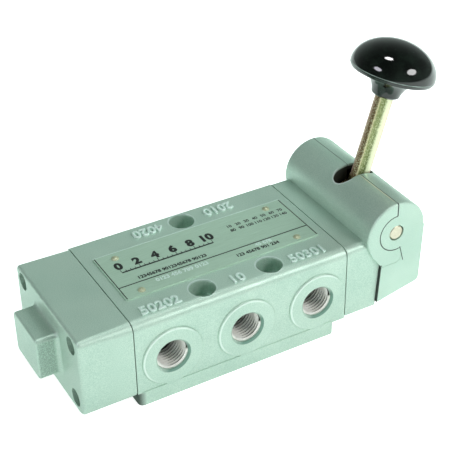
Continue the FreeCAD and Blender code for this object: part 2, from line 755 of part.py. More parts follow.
def lever_hub():
    """Barrel on the pin, collar for the rod above it and the ball-ended arm that drives the spool below."""
    barrel = cyl_y(-LEVER_HUB_HALF, LEVER_HUB_HALF, LEVER_HUB_R, 0, 0)
    collar = cyl_z(0, COLLAR_S, COLLAR_R, 0, 0)
    arm = lathe_z([
        (0, -ARM), (LEVER_NECK_R, -ARM), (LEVER_NECK_R, -ARM + BALL_R), (LEVER_ROOT_R, LEVER_ROOT_S),
        (LEVER_ROOT_R, 0), (0, 0)])
    ball = Part.makeSphere(BALL_R, V(0, 0, -ARM))
    solid = fuse_all([barrel, collar, arm, ball])
    flat = box(-BALL_R, BALL_R, -BALL_R, BALL_R, -ARM - 2 * BALL_R, -ARM - BALL_FLAT)
    pin_hole = cyl_y(-FAR, FAR, PIN_R + RUNNING_GAP, 0, 0)
    rod_hole = cyl_z(ROD_SEAT_S, COLLAR_S + PAST, ROD_R, 0, 0)
    return lean(cut_all(solid, [pin_hole, rod_hole, flat]).removeSplitter())


def lever_rod():
    shoulder = KNOB_NECK_S + INSERT_BACK
    top = shoulder + STUD_LENGTH
    edge = ROD_EDGE
    return lean(lathe_z([
        (0, ROD_SEAT_S), (ROD_R - edge, ROD_SEAT_S), (ROD_R, ROD_SEAT_S + edge), (ROD_R, shoulder - edge),
        (STUD_R, shoulder), (STUD_R, top - edge), (STUD_R - edge, top), (0, top)]))


def knob_insert():
    """Threaded bush that the knob is moulded round, waisted so that it can't pull out."""
    s0 = KNOB_NECK_S + INSERT_BACK
    s1 = s0 + INSERT_LENGTH
    third = INSERT_LENGTH / 3
    waist = INSERT_R - INSERT_WAIST
    return lean(lathe_z([
        (STUD_R, s0), (INSERT_R, s0), (INSERT_R, s0 + third - INSERT_WAIST), (waist, s0 + third),
        (waist, s1 - third), (INSERT_R, s1 - third + INSERT_WAIST), (INSERT_R, s1), (STUD_R, s1)]))


def knob_flare():
    """Underside of the knob from its neck out to the lip under the rim, as one smooth curve."""
    lip = KNOB_RIM_S - KNOB_LIP
    points = []
    for out, along in (FLARE_START, FLARE_BEND, FLARE_SWEEP):
        r = KNOB_NECK_R + out * (KNOB_R - KNOB_NECK_R)
        points.append(V(r, 0, KNOB_NECK_S + along * (lip - KNOB_NECK_S)))
    curve = Part.BSplineCurve()
    curve.interpolate(points + [V(KNOB_R - KNOB_LIP / 2, 0, lip - KNOB_LIP / 2)])
    return curve


def lever_knob():
    flare = knob_flare()
    start = flare.StartPoint
    hole = ROD_R + PRESS_GAP
    seat = KNOB_NECK_S + INSERT_BACK
    top = KNOB_RIM_S + KNOB_RISE
    stud = seat + STUD_LENGTH + TAP_SPARE
    rim = V(KNOB_R, 0, KNOB_RIM_S)
    oval = Part.Ellipse(rim, V(0, 0, top), V(0, 0, KNOB_RIM_S))
    dome = Part.ArcOfEllipse(oval, 0, math.pi / 2).toBSpline()
    inside = [
        (0, top), (0, stud), (STUD_R + PRESS_GAP, stud), (STUD_R + PRESS_GAP, seat + INSERT_LENGTH),
        (INSERT_R + PRESS_GAP, seat + INSERT_LENGTH), (INSERT_R + PRESS_GAP, seat), (hole, seat),
        (hole, KNOB_NECK_S), (KNOB_NECK_R - KNOB_LIP / 2, KNOB_NECK_S), (start.x, start.z)]
    inner = Part.makePolygon([V(r, 0, z) for r, z in inside])
    lip = Part.makePolygon([flare.EndPoint, V(KNOB_R, 0, KNOB_RIM_S - KNOB_LIP / 2), rim])
    outline = Part.Wire([flare.toShape(), lip, dome.toShape(), inner])
    return lean(Part.Face(outline).revolve(V(0, 0, 0), V(0, 0, 1), 360))


# Wiper at the bracket's spool bore
def wiper_seal():
    """Rod wiper, its inner lip touching the spool's nose between two flares."""
    x0 = WIPER_X0
    x1 = x0 + WIPER_LENGTH
    inner = NOSE_R + RUNNING_GAP
    flare = inner + WIPER_LIP
    return lathe_x([(x0, flare), (x0 + 2 * WIPER_LIP, inner), (x1 - 2 * WIPER_LIP, inner), (x1, flare),
                    (x1, WIPER_R - PRESS_GAP), (x0, WIPER_R - PRESS_GAP)])


def wiper_circlip():
    return circlip(WIPER_X0 + WIPER_LENGTH, WIPER_R)


def sleeve_circlip():
    return circlip(SLEEVE_X1, SLEEVE_R)


# Nameplate on the top face
def nameplate():
    plate = box(*PLATE_X, *PLATE_Y, TOP_Z, TOP_Z + PLATE_T)
    plate = plate.makeFillet(PLATE_CORNER_R, edges_long(plate, PLATE_T))
    drills = [cyl_z(TOP_Z - PAST, TOP_Z + PAST, RIVET_R + 2 * PRESS_GAP, x, y) for x, y in RIVETS]
    return cut_all(plate, drills)


def nameplate_rivets():
    rivets = []
    crown = PLATE_T + RIVET_HEAD_H
    for x, y in RIVETS:
        rivet = lathe_z([
            (0, -RIVET_LENGTH), (RIVET_R, -RIVET_LENGTH), (RIVET_R, PLATE_T), (RIVET_HEAD_R, PLATE_T),
            (0.8 * RIVET_HEAD_R, PLATE_T + 0.6 * RIVET_HEAD_H), (0.4 * RIVET_HEAD_R, crown), (0, crown)])
        rivet.translate(V(x, y, TOP_Z))
        rivets.append(rivet)
    return rivets


NODES = [
    valve_body, nameplate, nameplate_rivets, end_cap, end_cap_gasket, end_cap_screws, lever_bracket,
    bracket_gasket, bracket_screws, lever_cover, cover_screws, pivot_pin, hub_washers, lever_hub, lever_rod,
    lever_knob, knob_insert, spool, spool_seals, seal_spacers, end_bushings, wiper_seal, wiper_circlip,
    detent_sleeve, sleeve_circlip, detent_balls, detent_spring]


def main():
    os.makedirs("parts", exist_ok=True)
    for make in NODES:
        shape = make()
        if isinstance(shape, list):
            shape = Part.makeCompound(shape)
        shape.exportStep(f"parts/{make.__name__}.step")


main()
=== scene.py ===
"""Dresses the hand lever air valve: its finishes with painted shade and highlights, port threads, raised port numbers
and printed plate.
"""

import logging
import math
from collections.abc import Iterator
from contextlib import contextmanager
from dataclasses import dataclass, field
from enum import Enum
from typing import Self

import bpy
from mathutils import Matrix, Vector


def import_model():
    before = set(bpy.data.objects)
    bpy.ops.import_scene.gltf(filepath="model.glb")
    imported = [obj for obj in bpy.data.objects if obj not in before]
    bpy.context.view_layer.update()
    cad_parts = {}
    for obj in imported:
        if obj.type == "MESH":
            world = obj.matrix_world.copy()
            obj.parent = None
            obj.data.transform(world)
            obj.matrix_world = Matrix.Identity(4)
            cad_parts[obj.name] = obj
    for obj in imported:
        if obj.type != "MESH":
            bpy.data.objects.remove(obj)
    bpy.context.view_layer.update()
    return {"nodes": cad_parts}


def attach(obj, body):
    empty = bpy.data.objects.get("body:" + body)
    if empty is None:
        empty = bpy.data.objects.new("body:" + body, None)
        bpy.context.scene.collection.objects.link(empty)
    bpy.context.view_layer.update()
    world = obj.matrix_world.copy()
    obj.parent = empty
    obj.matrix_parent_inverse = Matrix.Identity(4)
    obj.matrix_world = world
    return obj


LOG = logging.getLogger("valve")

MM = 0.001
IMAGE_PX = 450.0

# Places and sizes of the solids that several looks follow
PIN = (71.205 * MM, 41.2 * MM)
LEAN = math.radians(17.0)
PORT_PITCH = 33.34 * MM
PORT_Z = 19.7 * MM
PORT_R = 6.85 * MM
TOP_Z = 40.0 * MM
HUB_SKIN = (50.0 * MM, 50.5 * MM)

Socket = bpy.types.NodeSocket
Colour = tuple[float, float, float]
Point = tuple[float, float, float]
Span = tuple[float, float]

WHITE: Colour = (1.0, 1.0, 1.0)


class Body(Enum):
    """The frame's bodies that new pieces ride on."""

    VALVE = "valve"


class Slot(Enum):
    """The record's material slots of the castings and of the plate."""

    CASTING = "painted_casting"
    PLATE = "plate_aluminium"


class Effect(Enum):
    """The effects that several finishes share, each a node group of this name."""

    SKIN = "cast_skin"
    SCRATCHES = "hair_scratches"
    SMUDGES = "smudges"


def linear(red: int, green: int, blue: int) -> Colour:
    """Turns a screen colour into the linear one that the sockets take.

    Args:
        red: Red, 0 to 255.
        green: Green, 0 to 255.
        blue: Blue, 0 to 255.

    Returns:
        The linear red, green and blue, 0 to 1.
    """
    shares = [value / 255.0 for value in (red, green, blue)]
    spread = [s / 12.92 if s <= 0.04045 else ((s + 0.055) / 1.055) ** 2.4 for s in shares]
    return spread[0], spread[1], spread[2]


# Node trees


class Value:
    """A number that flows through a node tree: working with it adds the nodes."""

    def __init__(self, tree: "Tree", socket: Socket) -> None:
        """Keeps the tree and the output that carries the number."""
        self.tree = tree
        self.socket = socket

    def __add__(self, other: object) -> "Value":
        """The sum."""
        return self.tree.math("ADD", self, other)

    def __sub__(self, other: object) -> "Value":
        """The difference."""
        return self.tree.math("SUBTRACT", self, other)

    def __rsub__(self, other: float) -> "Value":
        """A plain number less this one."""
        return self.tree.math("SUBTRACT", other, self)

    def __mul__(self, other: object) -> "Value":
        """The product: of masks, one where both are."""
        return self.tree.math("MULTIPLY", self, other)

    def __truediv__(self, other: object) -> "Value":
        """The quotient."""
        return self.tree.math("DIVIDE", self, other)

    def __or__(self, other: object) -> "Value":
        """The greater one: of masks, one where either is."""
        return self.tree.math("MAXIMUM", self, other)

    def __abs__(self) -> "Value":
        """The value without its sign."""
        return self.tree.math("ABSOLUTE", self)

    def ramp(self, low: float, high: float, to_low: float = 0.0, to_high: float = 1.0) -> "Value":
        """Maps the value from one range to another, held at its ends.

        Args:
            low: Start of the range it comes in.
            high: End of the range it comes in.
            to_low: Start of the range it leaves in.
            to_high: End of the range it leaves in.

        Returns:
            The mapped value.
        """
        node = self.tree.add("ShaderNodeMapRange", clamp=True)
        self.tree.feed(node, Value=self, From_Min=low, From_Max=high, To_Min=to_low, To_Max=to_high)
        return Value(self.tree, node.outputs["Result"])

    def fall(self, low: float, high: float) -> "Value":
        """One up to low, and nought from high on."""
        return self.ramp(low, high, 1.0, 0.0)

    def between(self, at_nought: float, at_one: float) -> "Value":
        """Maps a mask to another range."""
        return self.ramp(0.0, 1.0, at_nought, at_one)

    def band(self, low: float, high: float, soft: float) -> "Value":
        """One from low to high and nought outside, where each limit fades by soft to both sides."""
        return self.ramp(low - soft, low + soft) * self.fall(high - soft, high + soft)

    def reach(self, other: "Value", centre: Span = (0.0, 0.0)) -> "Value":
        """The distance from a centre in the plane of this coordinate and another one."""
        first, second = self - centre[0], other - centre[1]
        return self.tree.math("SQRT", first * first + second * second)


class Tree:
    """A node tree that is being wired."""

    def __init__(self, tree: bpy.types.NodeTree) -> None:
        """Keeps the tree of a material, world or group."""
        self.tree = tree

    @classmethod
    def of(cls, owner: bpy.types.Material | bpy.types.World) -> Self:
        """Opens the tree of a material or world, emptied.

        Args:
            owner: The material or world.

        Returns:
            Its empty tree.
        """
        owner.use_nodes = True
        owner.node_tree.nodes.clear()
        return cls(owner.node_tree)

    def add(self, kind: str, *values: object, **settings: object) -> bpy.types.Node:
        """Adds a node.

        Args:
            kind: The node's class name.
            *values: What its inputs are fed, in order.
            **settings: Properties of the node, by name.

        Returns:
            The new node.
        """
        node = self.tree.nodes.new(kind)
        for name, setting in settings.items():
            setattr(node, name, setting)
        for target, value in zip(node.inputs, values):
            self.put(target, value)
        return node

    def put(self, target: Socket, value: object) -> None:
        """Feeds one input.

        Args:
            target: The input.
            value: A value or socket to link, or a plain number or colour to set.
        """
        if isinstance(value, Value):
            value = value.socket
        if isinstance(value, Socket):
            self.tree.links.new(value, target)
        else:
            target.default_value = (*value, 1.0) if isinstance(value, tuple) else value

    def feed(self, node: bpy.types.Node, **values: object) -> None:
        """Feeds a node's inputs by name, with underscores for spaces."""
        for label, value in values.items():
            self.put(node.inputs[label.replace("_", " ")], value)

    def math(self, operation: str, *terms: object) -> Value:
        """Adds a Math node on values or plain numbers."""
        return Value(self, self.add("ShaderNodeMath", *terms, operation=operation).outputs[0])

    def noise(self, vector: Socket, detail: float, roughness: float = 0.5) -> Value:
        """Adds a noise of one cell per unit.

        Args:
            vector: The coordinates.
            detail: Octaves.
            roughness: Share that each finer octave keeps.

        Returns:
            The noise value.
        """
        node = self.add("ShaderNodeTexNoise")
        self.feed(node, Vector=vector, Scale=1.0, Detail=detail, Roughness=roughness)
        return Value(self, node.outputs["Fac"])

    def split(self, vector: Socket) -> tuple[Value, ...]:
        """A vector's three parts."""
        return tuple(Value(self, part) for part in self.add("ShaderNodeSeparateXYZ", vector).outputs)

    def rays(self) -> tuple[Value, Value]:
        """Masks of the rays that the viewer sees by, straight or through glass, and of those of the gloss.

        Returns:
            The two masks.
        """
        path = self.add("ShaderNodeLightPath")
        camera, glass, gloss = (Value(self, path.outputs[f"Is {kind} Ray"])
                                for kind in ("Camera", "Transmission", "Glossy"))
        return camera | glass, gloss

    def mix(self, share: Value, first: object, second: object) -> Socket:
        """Mixes two colours.

        Args:
            share: How much of the second colour, 0 to 1.
            first: A colour or a colour socket.
            second: A colour or a colour socket.

        Returns:
            The mixed colour.
        """
        node = self.add("ShaderNodeMix", data_type="RGBA")
        for place, value in ((0, share), (6, first), (7, second)):
            self.put(node.inputs[place], value)
        return node.outputs[2]

    def place(self, effect: Effect, **values: float) -> dict[str, Value]:
        """Places the group of a shared effect.

        Args:
            effect: The effect.
            **values: Its own input values, with underscores for spaces.

        Returns:
            The group's outputs by name.
        """
        node = self.add("ShaderNodeGroup", node_tree=bpy.data.node_groups[effect.value])
        self.feed(node, **values)
        return {socket.name: Value(self, socket) for socket in node.outputs}

    def bump(self, height: Value, strength: float, distance: float) -> Socket:
        """Turns a height into a normal.

        Args:
            height: The height, about 0 to 1.
            strength: The bump's strength.
            distance: The height of 1 in metres.

        Returns:
            The normal.
        """
        node = self.add("ShaderNodeBump")
        self.feed(node, Height=height, Strength=strength, Distance=distance)
        return node.outputs["Normal"]


class Surface(Tree):
    """A finish's tree, with the place on the object at hand along X, Y and Z, in metres."""

    def __init__(self, tree: bpy.types.NodeTree) -> None:
        """Keeps the material's tree and reads the place."""
        super().__init__(tree)
        self.x, self.y, self.z = self.split(self.add("ShaderNodeTexCoord").outputs["Object"])


class Group:
    """A shared effect as a node group, built once and placed in each material that needs it."""

    def __init__(self, effect: Effect, inputs: dict[str, float], outputs: tuple[str, ...]) -> None:
        """Makes the empty group with its sockets.

        Args:
            effect: The effect that the group makes.
            inputs: Each input's name and usual value.
            outputs: The outputs' names.
        """
        group = bpy.data.node_groups.new(effect.value, "ShaderNodeTree")
        for label, value in inputs.items():
            socket = group.interface.new_socket(name=label, in_out="INPUT", socket_type="NodeSocketFloat")
            socket.default_value = value
        for label in outputs:
            group.interface.new_socket(name=label, in_out="OUTPUT", socket_type="NodeSocketFloat")
        self.tree = Tree(group)
        source = self.tree.add("NodeGroupInput")
        self.inputs = {label: Value(self.tree, source.outputs[label]) for label in inputs}
        self.target = self.tree.add("NodeGroupOutput")
        self.place = self.tree.add("ShaderNodeTexCoord").outputs["Object"]

    def scaled(self, label: str, times: float = 1.0) -> Socket:
        """Object coordinates times one of the group's inputs.

        Args:
            label: The input that holds the scale.
            times: A further factor.

        Returns:
            The scaled coordinates.
        """
        node = self.tree.add("ShaderNodeVectorMath", self.place, operation="SCALE")
        self.tree.feed(node, Scale=self.inputs[label] * times)
        return node.outputs["Vector"]

    def out(self, **values: Value) -> None:
        """Sends values out of the group."""
        self.tree.feed(self.target, **values)


class Effects:
    """The effects that several finishes share."""

    def build(self) -> None:
        """Builds every shared group."""
        self.skin()
        self.scratches()
        self.smudges()

    def skin(self) -> None:
        """Orange peel, fine pits and metal flake of a sprayed casting: a height, a flake mask and a slow cloud."""
        skin = Group(Effect.SKIN, {"Peel Per Metre": 900.0, "Flake Per Metre": 3000.0, "Pits": 0.3},
                     ("Height", "Flake", "Cloud"))
        peel = skin.tree.noise(skin.scaled("Peel Per Metre"), detail=3.0, roughness=0.55)
        fine = skin.tree.noise(skin.scaled("Flake Per Metre"), detail=1.0)
        cloud = skin.tree.noise(skin.scaled("Peel Per Metre", 0.045), detail=2.0)
        pit = skin.tree.noise(skin.scaled("Peel Per Metre", 0.9), detail=0.0).ramp(0.2, 0.34, -1.0, 0.0)
        skin.out(Height=peel + pit * skin.inputs["Pits"] + fine * 0.35, Flake=fine.ramp(0.3, 0.7),
                 Cloud=cloud.ramp(0.3, 0.7))

    def scratches(self) -> None:
        """Hair scratches and rubbing, stretched along one way by the caller's scales: a height and a wear mask."""
        marks = Group(Effect.SCRATCHES, {"Along X": 200.0, "Along Y": 200.0, "Along Z": 4000.0, "Lean": 0.0},
                      ("Height", "Wear"))
        upright = marks.tree.add("ShaderNodeVectorRotate", marks.place, rotation_type="Y_AXIS")
        marks.tree.feed(upright, Angle=marks.inputs["Lean"])
        scale = marks.tree.add("ShaderNodeCombineXYZ", *(marks.inputs[f"Along {axis}"] for axis in "XYZ"))
        spread = marks.tree.add("ShaderNodeVectorMath", upright.outputs[0], scale.outputs[0], operation="MULTIPLY")
        lines = marks.tree.noise(spread.outputs["Vector"], detail=4.0, roughness=0.65)
        marks.out(Height=lines, Wear=lines.ramp(0.35, 0.7))

    def smudges(self) -> None:
        """Faint handling marks that change the gloss: one mask."""
        marks = Group(Effect.SMUDGES, {"Per Metre": 90.0}, ("Mask",))
        slow = marks.tree.noise(marks.scaled("Per Metre"), detail=3.0, roughness=0.6)
        marks.out(Mask=slow.ramp(0.42, 0.68))


# Marks, painted shade and painted highlights on the castings


@dataclass(frozen=True)
class Shade:
    """A place on a casting whose tone differs from the rest: a real mark, painted shade or a painted highlight.

    Attributes:
        colour: Its tone.
        share: How strong the tone is.
        matt: Whether the place has lost its gloss.
        sunk: How far the place lies under the skin, in heights of the orange peel.
    """

    colour: Colour
    share: float = 1.0
    matt: bool = True
    sunk: float = 0.0

    def mask(self, on: Surface) -> Value:
        """Where the place is, 0 to 1."""
        raise NotImplementedError


@dataclass(frozen=True)
class SlotPaintedShade(Shade):
    """Painted shade inside the lever's slot: a dark, matt tone where the slot lies in shadow.

    Attributes:
        radius: Distances from the hub's axis between which the painted shade ends.
        half: Distances from the middle plane between which it ends.
    """

    radius: Span = (13.0 * MM, 13.9 * MM)
    half: Span = (29.5 * MM, 30.0 * MM)

    def mask(self, on: Surface) -> Value:
        """Inside the hub, away from its ends."""
        return on.x.reach(on.z, PIN).fall(*self.radius) * abs(on.y).fall(*self.half)


@dataclass(frozen=True)
class SlotRimHighlight(Shade):
    """A painted highlight on the edge at the closed end of the lever's slot.

    Attributes:
        centre: Centre of the slot's round end along X and Y.
        ring: Inner and outer radius of the painted highlight.
        soft: How it fades.
        near: X between which the crescent ends.
    """

    centre: Span = (66.8 * MM, 0.0)
    ring: Span = (4.85 * MM, 5.4 * MM)
    soft: float = 0.08 * MM
    near: Span = (65.6 * MM, 67.4 * MM)

    def mask(self, on: Surface) -> Value:
        """A crescent round the slot's end."""
        ring = on.x.reach(on.y, self.centre).band(*self.ring, self.soft)
        return ring * on.x.fall(*self.near) * on.z.ramp(*HUB_SKIN)


@dataclass(frozen=True)
class PartingLineShade(Shade):
    """Painted shade along the parting lines between the bracket and its cover, where the gaps lie in shadow.

    Attributes:
        hub_x: The upright seam across the hub.
        boss: Radius of the seam round the cover's boss.
        foot_x: The lower seam's X at its foot and at its top.
        foot_z: The heights of the two.
        ear_x: The ear's free edge at its foot and at its top.
        ear_z: The heights of the two.
        face: Distance from the middle plane beyond which the boss and the ear lie.
        width: Half of a line's width.
        edge: Shares of it between which a straight line fades.
        hub_edge: The same for the seam across the hub.
        ear_share: How wide the ear's line is beside the others.
        soft: How the lines' ends fade.
        face_soft: How the boss and the ear's lines fade into the face.
        hub_soft: Height over which the hub's seam begins.
        round_z: Height over which the boss's seam fades where it goes round underneath.
        top: How much weaker the seam is along the top of the hub.
    """

    hub_x: float = 71.285 * MM
    boss: float = 8.22 * MM
    foot_x: Span = (63.055 * MM, 64.355 * MM)
    foot_z: Span = (6.6 * MM, 27.2 * MM)
    ear_x: Span = (75.5 * MM, 73.4 * MM)
    ear_z: Span = (26.2 * MM, 33.7 * MM)
    face: float = 31.0 * MM
    width: float = 0.22 * MM
    edge: Span = (0.7, 1.5)
    hub_edge: Span = (0.8, 1.8)
    ear_share: float = 0.8
    soft: float = 0.1 * MM
    face_soft: float = 0.2 * MM
    hub_soft: float = 1.0 * MM
    round_z: float = 0.6 * MM
    top: float = 0.4

    def line(self, on: Surface, ends: Span, heights: Span, width: float) -> Value:
        """A straight seam between two heights."""
        off = abs(on.x - on.z.ramp(*heights, *ends))
        return off.fall(width * self.edge[0], width * self.edge[1]) * on.z.band(*heights, self.soft)

    def mask(self, on: Surface) -> Value:
        """All the seams together.

        Args:
            on: The material's surface.

        Returns:
            The mask.
        """
        radius = on.x.reach(on.z, PIN)
        end = abs(on.y).ramp(self.face, self.face + self.face_soft)
        hub = (abs(on.x - self.hub_x).fall(self.width * self.hub_edge[0], self.width * self.hub_edge[1])
               * radius.ramp(self.boss - self.soft, self.boss) * on.z.ramp(PIN[1], PIN[1] + self.hub_soft)
               * end.between(self.top, 1.0))
        low = PIN[1] - self.boss
        around = on.x.fall(self.hub_x, self.hub_x + self.soft) | on.z.fall(low, low + self.round_z)
        boss = end * radius.band(self.boss - self.width, self.boss + self.width, self.soft) * around
        ear = end * self.line(on, self.ear_x, self.ear_z, self.width * self.ear_share)
        return hub | boss | ear | self.line(on, self.foot_x, self.foot_z, self.width)


@dataclass(frozen=True)
class SeamEdgeReflection(Shade):
    """A painted reflection of the rod: a bright line on the bracket along the front half of the hub's seam.

    Attributes:
        across: X of the painted line's two sides.
        along: Y of its two ends, at the hub's end and at the slot.
        soft: How its sides and its ends fade.
    """

    across: Span = (70.6 * MM, 71.0 * MM)
    along: Span = (-29.0 * MM, -5.5 * MM)
    soft: Span = (0.12 * MM, 2.0 * MM)

    def mask(self, on: Surface) -> Value:
        """A thin line beside the seam."""
        line = on.x.band(*self.across, self.soft[0]) * on.y.band(*self.along, self.soft[1])
        return line * on.z.ramp(*HUB_SKIN)


@dataclass(frozen=True)
class RoughSide(Shade):
    """The raised block's side, which was left rough: the hollows between its grains.

    Attributes:
        before: X between which the roughness ends, at the block's inner face.
        past: Distances from the middle plane between which it begins, at the block's side.
        grain: Grains per metre.
        hollow: Heights between which a hollow ends.
    """

    before: Span = (-74.5 * MM, -73.5 * MM)
    past: Span = (11.5 * MM, 11.7 * MM)
    grain: float = 1700.0
    hollow: Span = (0.55, 0.8)

    def mask(self, on: Surface) -> Value:
        """Dots on the block's side."""
        grit = on.place(Effect.SKIN, Peel_Per_Metre=self.grain)["Height"]
        return on.x.fall(*self.before) * abs(on.y).ramp(*self.past) * grit.fall(*self.hollow)


@dataclass(frozen=True)
class HoleRimHighlights(Shade):
    """Painted highlights on the faced rims of the mounting holes' pockets.

    Attributes:
        centres: The holes' places along X and Y.
        ring: Inner and outer radius of a rim.
        soft: How it fades.
        above: Heights between which it begins, under the top face.
        behind: Places along Y, from the hole's centre, between which it grows to its full tone.
        front: Its share of the tone in front.
    """

    centres: tuple[Span, ...] = ((-15.3 * MM, -22.8 * MM), (15.3 * MM, -22.8 * MM), (0.0, 23.2 * MM))
    ring: Span = (5.35 * MM, 6.0 * MM)
    soft: float = 0.1 * MM
    above: Span = (39.3 * MM, 39.5 * MM)
    behind: Span = (-1.0 * MM, 3.0 * MM)
    front: float = 0.3

    def mask(self, on: Surface) -> Value:
        """A ring round each pocket, stronger behind it.

        Args:
            on: The material's surface.

        Returns:
            The mask.
        """
        first, second, third = [on.x.reach(on.y, centre).band(*self.ring, self.soft)
                                * (on.y - centre[1]).ramp(*self.behind, self.front, 1.0) for centre in self.centres]
        return (first | second | third) * on.z.ramp(*self.above)


@dataclass(frozen=True)
class PortLightCrescent(Shade):
    """A crescent of painted light round each front port: dark for painted shade in the mouths, light for a painted
    highlight on the lands' rims.

    Attributes:
        ring: Its inner and outer radius.
        soft: How these fade.
        face: Y between which it ends, just behind the face it lies on.
        slant: 1 for a crescent on the right and below, -1 for one on the left and above.
        grows: Distances along the slant between which it grows to its full tone.
        pitches: Whole pitches that keep the count of the ports above nought.
    """

    ring: Span = (PORT_R - 0.1 * MM, 7.62 * MM)
    soft: float = 0.08 * MM
    face: Span = (-30.6 * MM, -30.5 * MM)
    slant: float = 1.0
    grows: Span = (0.0, 5.0 * MM)
    pitches: float = 10.0

    def mask(self, on: Surface) -> Value:
        """The same crescent at every pitch along the front.

        Args:
            on: The material's surface.

        Returns:
            The mask.
        """
        across = (on.math("FRACT", on.x / PORT_PITCH + (self.pitches + 0.5)) - 0.5) * PORT_PITCH
        up = on.z - PORT_Z
        ring = across.reach(up).band(*self.ring, self.soft)
        return ring * ((across - up) * self.slant).ramp(*self.grows) * on.y.fall(*self.face)


@dataclass(frozen=True)
class FootShade(Shade):
    """Painted shadow on the left end of the foot, under the end cap.

    Attributes:
        end: X between which it ends.
        top: Heights between which it ends, at the top of the foot.
    """

    end: Span = (-48.5 * MM, -45.6 * MM)
    top: Span = (6.1 * MM, 6.5 * MM)

    def mask(self, on: Surface) -> Value:
        """The foot's left end."""
        return on.x.fall(*self.end) * on.z.fall(*self.top)


# Finishes


@dataclass(frozen=True)
class Finish:
    """What every finish has: a name, and what its Principled shader is fed.

    Attributes:
        name: The material's name.
    """

    name: str

    def build(self) -> bpy.types.Material:
        """Makes the material.

        Returns:
            The material.
        """
        material = bpy.data.materials.new(self.name)
        surface = Surface.of(material)
        shader = surface.add("ShaderNodeBsdfPrincipled")
        surface.feed(surface.add("ShaderNodeOutputMaterial"), Surface=shader.outputs["BSDF"])
        surface.feed(shader, **self.looks(surface))
        return material

    def looks(self, on: Surface) -> dict[str, object]:
        """The shader's inputs by name, with underscores for spaces."""
        raise NotImplementedError


@dataclass(frozen=True)
class CastPaint(Finish):
    """Silver-green enamel with metal flake over a die casting.

    Attributes:
        light: The colour of the flake and of proud places.
        dark: The colour between the flakes.
        metallic: How much of the look is metal.
        gloss: Roughness at the least and the most glossy place.
        matt: Roughness where the gloss is lost.
        flake: The flake's share of the tone, where slow clouds make the rest.
        peel: Height of the orange peel in metres.
        pits: How deep the casting's pits show through.
        coat: Weight of the clear coat.
        coat_roughness: Its roughness.
        shades: The places whose tone differs.
    """

    light: Colour = linear(213, 233, 219)
    dark: Colour = linear(173, 205, 190)
    metallic: float = 0.5
    gloss: Span = (0.5, 0.42)
    matt: float = 0.8
    flake: float = 0.7
    peel: float = 0.06 * MM
    pits: float = 0.35
    coat: float = 0.1
    coat_roughness: float = 0.3
    shades: tuple[Shade, ...] = ()

    def looks(self, on: Surface) -> dict[str, object]:
        """Flake and cloud, then each shade over them.

        Args:
            on: The material's surface.

        Returns:
            The shader's inputs by name, with underscores for spaces.
        """
        skin = on.place(Effect.SKIN, Pits=self.pits)
        roughness = on.place(Effect.SMUDGES)["Mask"].between(*self.gloss)
        colour = on.mix(skin["Flake"] * self.flake + skin["Cloud"] * (1.0 - self.flake), self.dark, self.light)
        height, metallic, coat, dull = skin["Height"], self.metallic, self.coat, None
        for shade in self.shades:
            mask = shade.mask(on)
            colour = on.mix(mask * shade.share, colour, shade.colour)
            if shade.sunk:
                height = height + mask * -shade.sunk
            if shade.matt:
                dull = mask if dull is None else dull | mask
        if dull is not None:
            metallic, coat = dull.between(self.metallic, 0.0), dull.between(self.coat, 0.0)
            roughness = roughness | dull * self.matt
        return {"Base_Color": colour, "Roughness": roughness, "Metallic": metallic, "Coat_Weight": coat,
                "Coat_Roughness": self.coat_roughness, "Normal": on.bump(height, 0.5, self.peel)}


@dataclass(frozen=True)
class BareMetal(Finish):
    """Cut or drawn metal with fine tool marks.

    Attributes:
        light: The clean metal's colour.
        dark: The colour in the marks.
        roughness: Roughness of the clean and of the worn place.
        marks: Marks per metre along X, Y and Z.
        depth: Height of the marks in metres.
        lean: Lean of the marks in the plane of X and Z, in radians.
        stain: The tint of slow patches.
        stain_share: How strong the patches are.
        stains: Patches per metre.
        calm: What is left of the marks in a patch.
        metallic: How much of the look is metal.
        deep: Distances from the middle plane between which painted shade darkens a hole, or None.
        painted_shade_tone: The colour of the painted shade at its darkest.
    """

    light: Colour = linear(214, 212, 204)
    dark: Colour = linear(150, 146, 134)
    roughness: Span = (0.22, 0.4)
    marks: Point = (3000.0, 300.0, 3000.0)
    depth: float = 0.01 * MM
    lean: float = 0.0
    stain: Colour = linear(170, 160, 140)
    stain_share: float = 0.15
    stains: float = 260.0
    calm: float = 0.6
    metallic: float = 1.0
    deep: Span | None = None
    painted_shade_tone: Colour = linear(34, 34, 32)

    def looks(self, on: Surface) -> dict[str, object]:
        """Tool marks, stained in patches, with painted shade deep in a hole.

        Args:
            on: The material's surface.

        Returns:
            The shader's inputs by name, with underscores for spaces.
        """
        scratch = on.place(Effect.SCRATCHES, Along_X=self.marks[0], Along_Y=self.marks[1], Along_Z=self.marks[2],
                           Lean=self.lean)
        smudge = on.place(Effect.SMUDGES, Per_Metre=self.stains)["Mask"]
        clean = on.mix(scratch["Wear"] * smudge.between(1.0, self.calm), self.dark, self.light)
        colour = on.mix(smudge * self.stain_share, clean, self.stain)
        # Painted shade deep in the hole.
        if self.deep is not None:
            colour = on.mix(abs(on.y).fall(*self.deep), colour, self.painted_shade_tone)
        return {"Base_Color": colour, "Roughness": scratch["Wear"].between(*self.roughness),
                "Metallic": self.metallic, "Normal": on.bump(scratch["Height"], 0.6, self.depth)}


